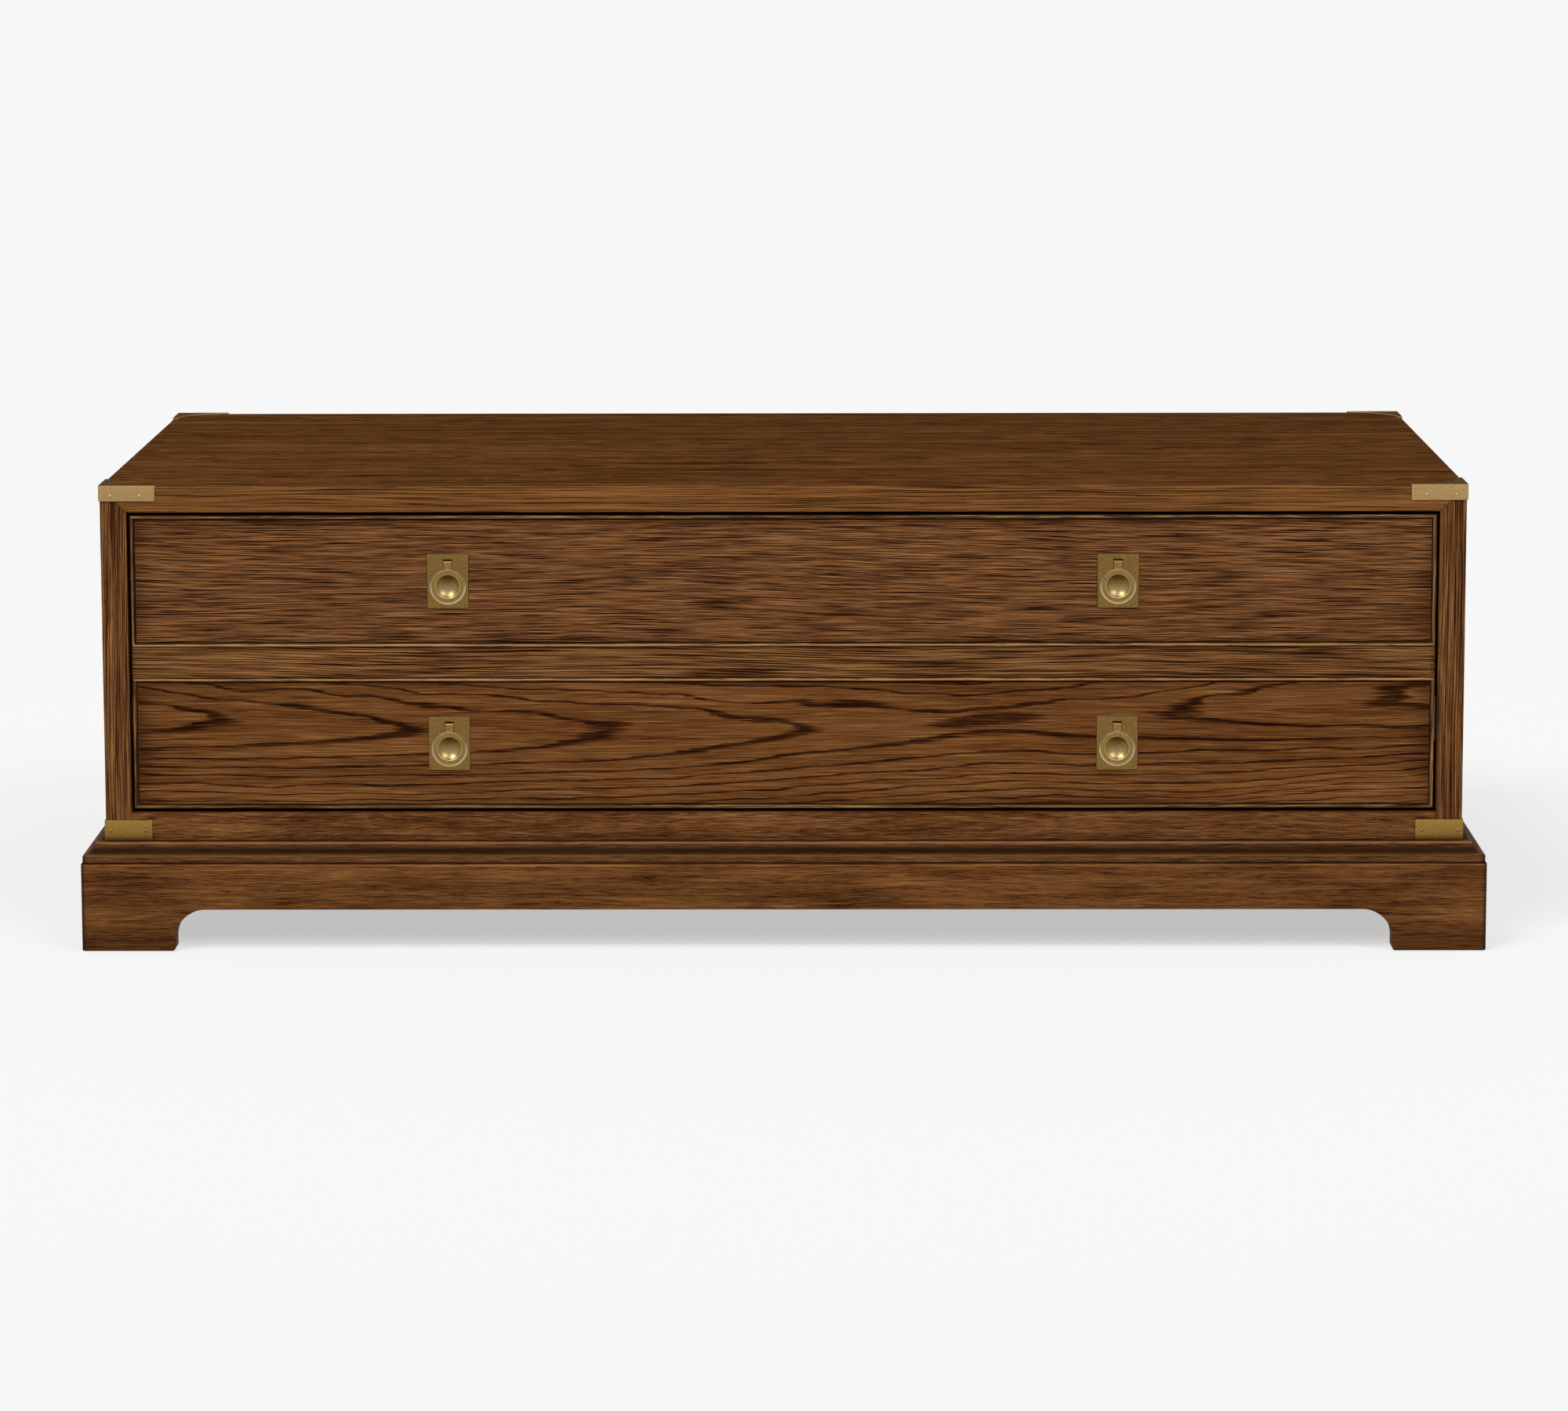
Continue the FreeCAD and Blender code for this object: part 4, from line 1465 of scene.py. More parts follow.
@dataclass
class Case:
    """The mitred case boards."""

    edge: float = 0.9 * MM
    edge_steps: int = 3

    def build(self, frame: dict) -> None:
        """Builds the boards that show and dresses those that don't.
        """
        self._top()
        self._side("left_side_panel", -1)
        self._side("right_side_panel", 1)
        self._rail()
        self._back(frame)

    def _top(self) -> None:
        """The top board, mitred to the sides."""
        low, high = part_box("top_panel")
        top = block("top_panel_board", low, high)
        for sign in (-1, 1):
            trim(top, Vector((sign * high.x, 0, high.z)), Vector((sign, 0, -1)))
        soften(top, self.edge, self.edge_steps)
        smooth(top)
        finish = Oak(
            "oak_top",
            Grain.ALONG_X,
            streak_length=90 * MM,
            streak_pitch=0.8 * MM,
            contrast=1.0,
            band=0.4,
            crisp=0.2,
            seed=1.7,
            gloss=0.0,
            roughness=0.6,
            # The top's tones are painted darker than the other boards', as shade, against the stronger
            # light that falls on it.
            ground=colour(82, 50, 24),
            light=colour(142, 94, 50),
            # A painted highlight along the front and back arrises, partly also worn pale.
            marks=(Mark("Y", high.y, width=1.2 * MM, share=0.5, pale=True),),
        ).make()
        stand_for(top, "case", finish, "case_oak", "top_panel")

    def _side(self, node: str, sign: int) -> None:
        """A side board, mitred under the top.

        Args:
            node: the frame's node that it takes the place of.
            sign: 1 for the right side and -1 for the left.
        """
        low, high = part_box(node)
        side = block(node + "_board", low, high)
        outer = high.x if sign > 0 else low.x
        trim(side, Vector((outer, 0, high.z)), Vector((-sign, 0, 1)))
        soften(side, self.edge, self.edge_steps)
        smooth(side)
        finish = Oak(
            "oak_" + node,
            Grain.UPRIGHT,
            streak_length=70 * MM,
            streak_pitch=0.7 * MM,
            contrast=1.0,
            seed=4.3 + sign,
            ground=colour(98, 57, 26),
        ).make()
        stand_for(side, "case", finish, "case_oak", node)

    def _rail(self) -> None:
        """The rail under the drawer."""
        low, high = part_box("front_bottom_rail")
        rail = block("front_bottom_rail_board", low, high)
        soften(rail, self.edge, self.edge_steps)
        smooth(rail)
        finish = Oak(
            "oak_bottom_rail",
            Grain.ALONG_X,
            streak_length=22 * MM,
            streak_pitch=0.6 * MM,
            contrast=0.65,
            seed=9.2,
            marks=(
                # Dark wax with painted shade along the joint with the moulding below and along the
                # reveal above.
                Mark("Z", low.z, width=4.0 * MM, share=1.1),
                Mark("Z", high.z, width=1.5 * MM, share=0.5),
            ),
        ).make()
        stand_for(rail, "case", finish, "case_oak", "front_bottom_rail")

    def _back(self, frame: dict) -> None:
        """The back panel keeps its mesh."""
        finish = Oak("oak_back", Grain.ALONG_X, contrast=0.7, seed=12.5).make()
        repaint(["back_panel"], finish, frame)


@dataclass
class CornerBrass:
    """The brass brackets on the corners, and their pins."""

    sheet: float = 1.2 * MM
    inlay: float = 0.4 * MM
    plate_end: float = 4.0 * MM
    hollow_radius: float = 48.0 * MM
    edge: float = 0.3 * MM
    steps: int = 40
    pin_radius: float = 1.7 * MM
    pin_height: float = 0.8 * MM
    pin_sides: int = 20
    pin_rings: int = 5
    pin_turn: float = 82.0
    wax_drop: float = 0.25 * MM
    mottle: float = 2 * MM

    def build(self) -> None:
        """Builds the eight brackets and their pins."""
        top = self._top_bracket()
        bottom = self._bottom_bracket()
        # The top brackets are painted dark as shade from just below the top of the plate upwards.
        top_finish = Brass(
            "brass_top",
            bright=colour(192, 160, 110),
            aged=colour(152, 122, 78),
            roughness=0.4,
            mottle=self.mottle,
            waxed=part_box("top_bracket_front_left")[1].z - self.wax_drop,
        ).make()
        bottom_finish = Brass(
            "brass_bottom",
            bright=colour(160, 126, 64),
            aged=colour(122, 94, 44),
            roughness=0.45,
            mottle=self.mottle,
        ).make()
        rows = ((top, "top", top_finish), (bottom, "bottom", bottom_finish))
        for corner in Corner:
            flip = Matrix.Diagonal((-corner.value[0], -corner.value[1], 1, 1))
            for master, row, finish in rows:
                node = f"{row}_bracket_{corner.label}"
                bracket = duplicate(master, node + "_sheet", flip)
                stand_for(bracket, "case", finish, "corner_brass", node)
        bpy.data.objects.remove(top)
        bpy.data.objects.remove(bottom)
        self._pins("top_bracket_pins", top_finish)
        self._pins("bottom_bracket_pins", bottom_finish)

    def _top_bracket(self) -> bpy.types.Object:
        """The front-left bracket: a plate with a hollow inner edge and two flanges.

        Returns:
            The bracket.
        """
        low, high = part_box("top_bracket_front_left")
        wood = low + Vector((self.sheet, self.sheet, 0))
        base = high.z - self.sheet - self.inlay
        end = wood.x + self.plate_end
        far = wood.y + self.plate_end
        centre = Vector((end + self.hollow_radius, far + self.hollow_radius, base))
        pen = Pen("top_bracket_master", Vector((low.x, low.y, base)))
        pen.line(Vector((high.x, low.y, base)))
        pen.line(Vector((high.x, far, base)))
        pen.line(Vector((centre.x, far, base)))
        pen.arc(centre, Vector((0, 0, 1)), -QUARTER_TURN, self.steps)
        pen.line(Vector((end, high.y, base)))
        pen.line(Vector((low.x, high.y, base)))
        bracket = pen.push(Vector((0, 0, self.sheet + self.inlay)))
        self._flanges(bracket, wood, base, low.z - base)
        soften(bracket, self.edge)
        smooth(bracket)
        return bracket

    @staticmethod
    def _flanges(bracket: bpy.types.Object, wood: Vector, base: float, drop: float) -> None:
        """Turns the outer strips of the plate down over the wood.

        Args:
            bracket: the flat plate.
            wood: the corner of the wood inside the sheet.
            base: the height of the plate's underside.
            drop: how far the flanges go, below zero for down.
        """
        edit(bracket, "VERT")
        for normal in (Vector((1, 0, 0)), Vector((0, 1, 0))):
            bpy.ops.mesh.select_all(action="SELECT")
            bpy.ops.mesh.bisect(plane_co=wood, plane_no=normal, threshold=MERGE)
        bpy.ops.mesh.select_mode(type="FACE")

        def is_strip(face: bmesh.types.BMFace) -> bool:
            """Whether a face is on the plate's underside, outside the wood.

            Args:
                face: the face.

            Returns:
                True for a strip that has a flange under it.
            """
            middle = face.calc_center_bounds()
            outside = middle.x < wood.x or middle.y < wood.y
            return face.normal.z < DOWNWARD and abs(middle.z - base) < NEAR and outside

        pick_faces(bracket, is_strip)
        bpy.ops.mesh.extrude_region_move(TRANSFORM_OT_translate={"value": (0, 0, drop)})
        close_edit()

    def _bottom_bracket(self) -> bpy.types.Object:
        """The front-left angle at the foot of the case.

        Returns:
            The bracket.
        """
        low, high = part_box("bottom_bracket_front_left")
        wood = low + Vector((self.sheet, self.sheet, 0))
        pen = Pen("bottom_bracket_master", low)
        pen.line(Vector((high.x, low.y, low.z)))
        pen.line(Vector((high.x, wood.y, low.z)))
        pen.line(Vector((wood.x, wood.y, low.z)))
        pen.line(Vector((wood.x, high.y, low.z)))
        pen.line(Vector((low.x, high.y, low.z)))
        bracket = pen.push(Vector((0, 0, high.z - low.z)))
        soften(bracket, self.edge)
        smooth(bracket)
        return bracket

    def _pins(self, node: str, finish: bpy.types.Material) -> None:
        """Domed escutcheon pins where the frame has them.

        Args:
            node: the frame's node of one row of pins.
            finish: their material.
        """
        master = self._pin()
        heads = []
        for low, high in islands(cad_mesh(node)):
            middle = (low + high) / 2
            size = high - low
            if size.x < size.y:
                outward = Vector((1 if middle.x > 0 else -1, 0, 0))
            else:
                outward = Vector((0, 1 if middle.y > 0 else -1, 0))
            foot = middle - outward * min(size.x, size.y) / 2
            turn = Vector((0, 0, 1)).rotation_difference(outward).to_matrix().to_4x4()
            heads.append(duplicate(master, "pin", Matrix.Translation(foot) @ turn))
        bpy.data.objects.remove(master)
        pins = join(heads, node + "_domes")
        stand_for(pins, "case", finish, "corner_brass", node)

    def _pin(self) -> bpy.types.Object:
        """One pin head, raised from a disc ring by ring.

        Returns:
            The pin, with its foot on z = 0.
        """
        deselect_all()
        bpy.ops.mesh.primitive_circle_add(
            vertices=self.pin_sides, radius=self.pin_radius, fill_type="NGON"
        )
        pin = bpy.context.object
        pin.name = "pin_master"
        edit(pin, "FACE")
        bpy.ops.mesh.select_all(action="SELECT")
        height = 0.0
        width = 1.0
        for ring in range(1, self.pin_rings + 1):
            turn = math.radians(self.pin_turn * ring / self.pin_rings)
            rise = self.pin_height * math.sin(turn) - height
            bpy.ops.mesh.extrude_region_move(TRANSFORM_OT_translate={"value": (0, 0, rise)})
            shrink = math.cos(turn) / width
            bpy.ops.transform.resize(value=(shrink, shrink, 1), center_override=(0, 0, 0))
            height += rise
            width = math.cos(turn)
        bpy.ops.mesh.select_all(action="SELECT")
        bpy.ops.mesh.normals_make_consistent(inside=False)
        close_edit()
        smooth(pin, angle=60.0)
        return pin


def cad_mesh(node: str) -> bpy.types.Mesh:
    """The mesh of one of the frame's nodes."""
    return bpy.data.objects[node].data


def islands(mesh: bpy.types.Mesh) -> list[tuple[Vector, Vector]]:
    """Finds the loose parts of a mesh.

    Args:
        mesh: the mesh, whose triangles may share no vertices.

    Returns:
        The lowest and highest corner of each part, in the order of the mesh.
    """
    work = bmesh.new()
    work.from_mesh(mesh)
    bmesh.ops.remove_doubles(work, verts=work.verts, dist=MERGE)
    seen: set[int] = set()
    found = []
    work.verts.ensure_lookup_table()
    for start in work.verts:
        if start.index in seen:
            continue
        seen.add(start.index)
        queue = [start]
        points = []
        while queue:
            vertex = queue.pop()
            points.append(vertex.co.copy())
            for edge in vertex.link_edges:
                other = edge.other_vert(vertex)
                if other.index not in seen:
                    seen.add(other.index)
                    queue.append(other)
        low = Vector(min(p[axis] for p in points) for axis in range(3))
        high = Vector(max(p[axis] for p in points) for axis in range(3))
        found.append((low, high))
    work.free()
    return found


@dataclass
class DrawerFace:
    """The beaded drawer face with its rail."""

    bead: float = 3.6 * MM
    quirk: float = 1.4 * MM
    quirk_depth: float = 1.2 * MM
    proud: float = 1.0 * MM
    steps: int = 12
    rail_reach: float = 6 * MM
    # The share of the painted highlight on the bead noses, which also stands for worn edges: strong
    # beside the rail, where the beads catch the light, and faint elsewhere, where they lie in shade.
    wear: float = 1.0
    little_wear: float = 0.15
    row_seed: float = 0.37

    def build(self, frame: dict) -> None:
        """Builds the beads and dresses the panels.
        """
        for row in ("upper", "lower"):
            self._beads(row)
            self._panel(row, frame)
        # The centre rail darkens along its edges, partly as dark glaze and partly as painted shade under
        # the proud beads.
        rail = Oak(
            "oak_centre_rail",
            Grain.ALONG_X,
            streak_length=90 * MM,
            streak_pitch=0.8 * MM,
            contrast=0.9,
            crisp=0.8,
            pores=0.1,
            slope=0.012,
            seed=6.4,
            relief=0.4,
            ground=colour(92, 52, 20),
            light=colour(156, 110, 64),
            panel=Panel(self._span("centre_rail", 0), self._span("centre_rail", 2), self.rail_reach),
        ).make()
        repaint(["centre_rail"], rail, frame)

    @staticmethod
    def _span(node: str, axis: int) -> tuple[float, float]:
        """Lowest and highest place of a node along an axis."""
        low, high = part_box(node)
        return low[axis], high[axis]

    def _panel(self, row: str, frame: dict) -> None:
        """Gives one panel its own grain.

        Args:
            row: upper or lower.
        """
        node = row + "_drawer_face"
        edges = Panel(self._span(node, 0), self._span(node, 2))
        if row == "upper":
            finish = Oak(
                "oak_upper_panel",
                Grain.ALONG_X,
                streak_length=62 * MM,
                streak_pitch=0.5 * MM,
                contrast=1.15,
                crisp=1.05,
                band=0.12,
                cloud=0.25,
                pores=0.12,
                seed=2.2,
                slope=0.008,
                relief=0.5,
                panel=edges,
                ground=colour(79, 41, 14),
                light=colour(158, 107, 63),
            )
        else:
            finish = Oak(
                "oak_lower_panel",
                Grain.ALONG_X,
                streak_length=55 * MM,
                streak_pitch=0.5 * MM,
                contrast=0.8,
                band=0.12,
                pores=0.2,
                figure=0.5,
                seed=5.0,
                panel=edges,
                ground=colour(110, 65, 28),
            )
        repaint([node], finish.make(), frame)

    def _beads(self, row: str) -> None:
        """Runs the four mitred beads round one panel.

        Args:
            row: upper or lower.
        """
        node = row + "_cock_beads"
        low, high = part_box(node)
        middle = (low + high) / 2
        half_x = high.x
        half_z = (high.z - low.z) / 2
        flat = self._strip(row + "_bead_bottom", half_x, low.y, high.y)
        upright = self._strip(row + "_bead_left", half_z, low.y, high.y)
        over = Matrix.Rotation(math.radians(HALF_TURN), 4, "Y")
        aside = Matrix.Rotation(math.radians(QUARTER_TURN), 4, "Y")
        places = {
            "bottom": Matrix.Translation((0, 0, low.z)),
            "top": Matrix.Translation((0, 0, high.z)) @ over,
            "left": Matrix.Translation((low.x, 0, middle.z)) @ aside,
            "right": Matrix.Translation((high.x, 0, middle.z)) @ aside.inverted(),
        }
        for side, change in places.items():
            level = side in ("bottom", "top")
            strip = duplicate(flat if level else upright, f"{row}_bead_{side}_strip", change)
            finish = self._bead_oak(row, side, low, high)
            stand_for(strip, "drawer", finish, "drawer_oak", node)
        bpy.data.objects.remove(flat)
        bpy.data.objects.remove(upright)

    def _bead_oak(self, row: str, side: str, low: Vector, high: Vector) -> bpy.types.Material:
        """The finish of one bead: a painted highlight on its nose that also stands for worn edges, and
        dark wax with painted shade in its quirk and along its outer edge.

        Args:
            row: upper or lower.
            side: bottom, top, left or right.
            low: the lowest corner of the row's beads.
            high: their highest corner.

        Returns:
            The material.
        """
        grain = Grain.ALONG_X if side in ("bottom", "top") else Grain.UPRIGHT
        axis = grain.value[1]
        edge, inward = (low.z, 1) if side == "bottom" else (high.z, -1)
        if grain is Grain.UPRIGHT:
            edge = high.x
        beside_rail = (row, side) in (("upper", "bottom"), ("lower", "top"))
        wear = self.wear if beside_rail else self.little_wear
        nose = edge + inward * self.bead / 2
        groove = edge + inward * (self.bead + self.quirk / 2)
        return Oak(
            f"oak_bead_{row}_{side}",
            grain,
            streak_length=40 * MM,
            streak_pitch=1.3 * MM,
            contrast=0.6,
            seed=8.0 + len(side) + len(row) * self.row_seed,
            ground=colour(92, 58, 29),
            light=colour(176, 134, 84),
            # A painted highlight on the nose, and dark wax with painted shade at the outer edge and in
            # the quirk.
            marks=(
                Mark(axis, nose, width=1.3 * MM, share=wear, pale=True),
                Mark(axis, edge, width=1.0 * MM, share=0.9),
                Mark(axis, groove, width=1.3 * MM, share=0.9),
            ),
        ).make()

    def _strip(self, name: str, half_run: float, front: float, back: float) -> bpy.types.Object:
        """One bead strip along X with its outer edge at z = 0.

        Args:
            name: the start of its name.
            half_run: half its length, in metres.
            front: where its nose stands, in Y.
            back: where its back lies, in Y.

        Returns:
            The strip, mitred at both ends.
        """
        nose = self.bead / 2
        floor = front + self.proud + self.quirk_depth
        strip = self.bead + self.quirk
        start = -half_run
        pen = Pen(name + "_master", Vector((start, front + nose, 0)))
        pen.arc(Vector((start, front + nose, nose)), Vector((1, 0, 0)), -HALF_TURN, self.steps)
        pen.line(Vector((start, floor, self.bead)))
        pen.line(Vector((start, floor, strip)))
        pen.line(Vector((start, back, strip)))
        pen.line(Vector((start, back, 0)))
        bead = pen.push(Vector((half_run * 2, 0, 0)))
        trim(bead, Vector((half_run, 0, 0)), Vector((1, 0, 1)))
        trim(bead, Vector((-half_run, 0, 0)), Vector((-1, 0, 1)))
        smooth(bead, angle=40.0)
        return bead


@dataclass
class RingPulls:
    """The flush ring pulls: a cast plate with a dish, and a hinged ring."""

    plate_depth: float = 2.0 * MM
    ring_drop: float = 5.2 * MM
    ring_radius: float = 16.4 * MM
    hole_radius: float = 11.3 * MM
    ring_depth: float = 2.6 * MM
    gap: float = 0.5 * MM
    floor_gap: float = 0.4 * MM
    neck: float = 8.0 * MM
    neck_round: float = 2.0 * MM
    knuckle: float = 2.8 * MM
    hinge_rise: float = 22.8 * MM
    slot_rise: float = 4.1 * MM
    pin_radius: float = 1.0 * MM
    dish_margin: float = 0.2 * MM
    dish_depth: float = 7.6 * MM
    casting_width: float = 36.0 * MM
    casting_height: float = 49.0 * MM
    corner_round: float = 0.9 * MM
    rim: float = 0.22 * MM
    rim_steps: int = 2
    corner_steps: int = 4
    plate_edge: float = 0.5 * MM
    ring_edge: float = 0.45 * MM
    edge_steps: int = 3
    pin_play: float = 0.1 * MM
    arc_steps: int = 72
    fillet_steps: int = 6
    hole_sides: int = 96
    knuckle_sides: int = 48
    bore_sides: int = 24
    dish_segments: int = 96
    dish_rings: int = 64
    mottle: float = 1.4 * MM
    places: tuple[str, ...] = ("upper_left", "upper_right", "lower_left", "lower_right")

    def build(self, frame: dict) -> None:
        """Builds one pull and copies it to the four places.
        """
        plate = self._plate()
        ring = self._ring()
        for place in self.places:
            low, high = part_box("pull_ring_" + place)
            centre = Vector(((low.x + high.x) / 2, low.y, low.z + self.ring_radius))
            move = Matrix.Translation(centre)
            # Each pull's plate and ring carry painted shade and highlights about the dish, and bright
            # rims.
            finish = Brass(
                "brass_pull_" + place,
                bright=colour(146, 116, 64),
                aged=colour(100, 76, 36),
                roughness=0.27,
                mottle=self.mottle,
                dish=Dish(centre.x, centre.z, (self.ring_radius + self.gap,)),
            ).make()
            ring_finish = Brass(
                "brass_ring_" + place,
                bright=colour(160, 130, 76),
                aged=colour(114, 88, 44),
                roughness=0.3,
                mottle=self.mottle,
                dish=Dish(centre.x, centre.z, (self.ring_radius, self.hole_radius)),
            ).make()
            node = "pull_plate_" + place
            cast = duplicate(plate, node + "_cast", move)
            stand_for(cast, "drawer", finish, "pull_brass", node)
            node = "pull_ring_" + place
            cast = duplicate(ring, node + "_cast", move)
            stand_for(cast, "ring_" + place, ring_finish, "pull_brass", node)
        bpy.data.objects.remove(plate)
        bpy.data.objects.remove(ring)
        repaint(["ring_hinge_pins"], finish, frame)

    def _outline(self, name: str, grow: float, top: float, y: float) -> Pen:
        """The ring's outline: a disc whose neck is rounded into it.

        Args:
            name: the piece's name.
            grow: how much larger it is all round than the ring.
            top: how far above the ring's centre the neck ends.
            y: the plane that it is drawn on.

        Returns:
            The pen, back near its start.
        """
        radius = self.ring_radius + grow
        half = self.neck / 2 + grow
        fillet = self.neck_round - grow
        across = half + fillet
        rise = math.sqrt((radius + fillet) ** 2 - across**2)
        turn = math.degrees(math.atan2(rise, across))
        pen = Pen(name, Vector((-half, y, rise)))
        pen.line(Vector((-half, y, top)))
        pen.line(Vector((half, y, top)))
        pen.line(Vector((half, y, rise)))
        axis = Vector((0, 1, 0))
        pen.arc(Vector((across, y, rise)), axis, -turn, self.fillet_steps)
        pen.arc(Vector((0, y, 0)), axis, HALF_TURN + 2 * turn, self.arc_steps)
        pen.arc(Vector((-across, y, rise)), axis, -turn, self.fillet_steps)
        return pen

    @staticmethod
    def _rod(
        name: str, centre: Vector, axis: str, radius: float, length: float, sides: int
    ) -> bpy.types.Object:
        """A round tool or knuckle, from a filled circle pushed out.

        Args:
            name: its name.
            centre: the middle of its near end.
            axis: X or Y, the way that it runs.
            radius: its radius.
            length: its length.
            sides: how many flats it is made of.

        Returns:
            The rod.
        """
        quarter = math.radians(QUARTER_TURN)
        turn = (0, quarter, 0) if axis == "X" else (quarter, 0, 0)
        travel = Vector((length, 0, 0)) if axis == "X" else Vector((0, length, 0))
        deselect_all()
        bpy.ops.mesh.primitive_circle_add(
            vertices=sides, radius=radius, fill_type="NGON", location=centre, rotation=turn
        )
        rod = bpy.context.object
        rod.name = name
        settle(rod)
        edit(rod, "FACE")
        bpy.ops.mesh.select_all(action="SELECT")
        bpy.ops.mesh.extrude_region_move(TRANSFORM_OT_translate={"value": travel})
        bpy.ops.mesh.select_all(action="SELECT")
        bpy.ops.mesh.normals_make_consistent(inside=False)
        close_edit()
        return rod

    def _ring(self) -> bpy.types.Object:
        """The ring about its own centre, its face on y = 0.

        Returns:
            The ring with its knuckle and its bore.
        """
        outline = self._outline("ring_master", 0.0, self.hinge_rise, 0.0)
        ring = outline.push(Vector((0, self.ring_depth, 0)))
        front = Vector((0, -PAST, 0))
        length = self.ring_depth + 2 * PAST
        carve(ring, self._rod("hole", front, "Y", self.hole_radius, length, self.hole_sides))
        axle = Vector((-self.neck / 2, self.knuckle, self.hinge_rise))
        knuckle = self._rod("knuckle", axle, "X", self.knuckle, self.neck, self.knuckle_sides)
        carve(ring, knuckle, "UNION")
        start = Vector((-self.neck, self.knuckle, self.hinge_rise))
        bore = self.pin_radius + self.pin_play
        carve(ring, self._rod("bore", start, "X", bore, self.neck * 2, self.bore_sides))
        edit(ring, "EDGE")

        def on_face(place: Vector) -> bool:
            """Whether a point is on the ring's face, below its knuckle."""
            return abs(place.y) < NEAR and place.z < self.hinge_rise - self.knuckle / 2

        pick_edges(ring, on_face)
        bpy.ops.mesh.bevel(offset=self.ring_edge, segments=self.edge_steps, affect="EDGES")
        close_edit()
        smooth(ring, angle=40.0)
        return ring

    def _plate(self) -> bpy.types.Object:
        """The cast plate about the ring's centre, its face on y = 0.

        Returns:
            The plate with its pocket, slot and dish.
        """
        low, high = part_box("pull_plate_upper_left")
        half_w = (high.x - low.x) / 2
        half_h = (high.z - low.z) / 2
        depth = high.y - low.y
        rise = self.ring_drop
        plate = block(
            "plate_master",
            Vector((-half_w, 0, rise - half_h)),
            Vector((half_w, self.plate_depth, rise + half_h)),
        )
        edit(plate, "EDGE")
        mesh = bmesh.from_edit_mesh(plate.data)
        for side in mesh.edges:
            along = side.verts[1].co - side.verts[0].co
            side.select_set(abs(along.y) > self.plate_depth / 2)
        bmesh.update_edit_mesh(plate.data)
        bpy.ops.mesh.bevel(offset=self.corner_round, segments=self.corner_steps, affect="EDGES")
        bpy.ops.mesh.select_all(action="DESELECT")
        pick_edges(plate, lambda place: abs(place.y) < NEAR)
        bpy.ops.mesh.bevel(offset=self.plate_edge, segments=self.edge_steps, affect="EDGES")
        close_edit()
        boss = block(
            "boss",
            Vector((-self.casting_width / 2, self.plate_depth / 2, rise - self.casting_height / 2)),
            Vector((self.casting_width / 2, depth, rise + self.casting_height / 2)),
        )
        carve(plate, boss, "UNION")
        self._cut_pocket(plate)
        smooth(plate, angle=40.0)
        return plate

    def _cut_pocket(self, plate: bpy.types.Object) -> None:
        """Sinks the ring's pocket, the hinge slot and the finger dish.

        Args:
            plate: the plate.
        """
        top = self.hinge_rise + self.slot_rise
        floor = self.ring_depth + self.floor_gap
        outline = self._outline("pocket", self.gap, top, -PAST)
        carve(plate, outline.push(Vector((0, floor + PAST, 0))))
        half = self.neck / 2 + self.gap
        slot = block(
            "slot",
            Vector((-half, -PAST, self.hinge_rise - self.knuckle - self.floor_gap)),
            Vector((half, 2 * self.knuckle + self.floor_gap, top)),
        )
        carve(plate, slot)
        rim = self.hole_radius + self.dish_margin
        dip = self.dish_depth - floor
        ball = (rim**2 + dip**2) / (2 * dip)
        deselect_all()
        bpy.ops.mesh.primitive_uv_sphere_add(
            segments=self.dish_segments,
            ring_count=self.dish_rings,
            radius=ball,
            location=(0, self.dish_depth - ball, 0),
            rotation=(math.radians(QUARTER_TURN), 0, 0),
        )
        dish = bpy.context.object
        settle(dish)
        trim(dish, Vector((0, floor - self.floor_gap, 0)), Vector((0, -1, 0)))
        carve(plate, dish)
        edit(plate, "EDGE")
        inside = self.ring_radius + 2 * self.gap

        def on_rim(place: Vector) -> bool:
            """Whether a point is on the rim of the pocket.

            Args:
                place: the point.

            Returns:
                True round the ring and its neck, on the plate's face.
            """
            in_ring = math.hypot(place.x, place.z) < inside
            in_neck = abs(place.x) < half + self.gap and place.z > 0
            return abs(place.y) < NEAR and (in_ring or in_neck)

        pick_edges(plate, on_rim)
        bpy.ops.mesh.bevel(offset=self.rim, segments=self.rim_steps, affect="EDGES")
        close_edit()


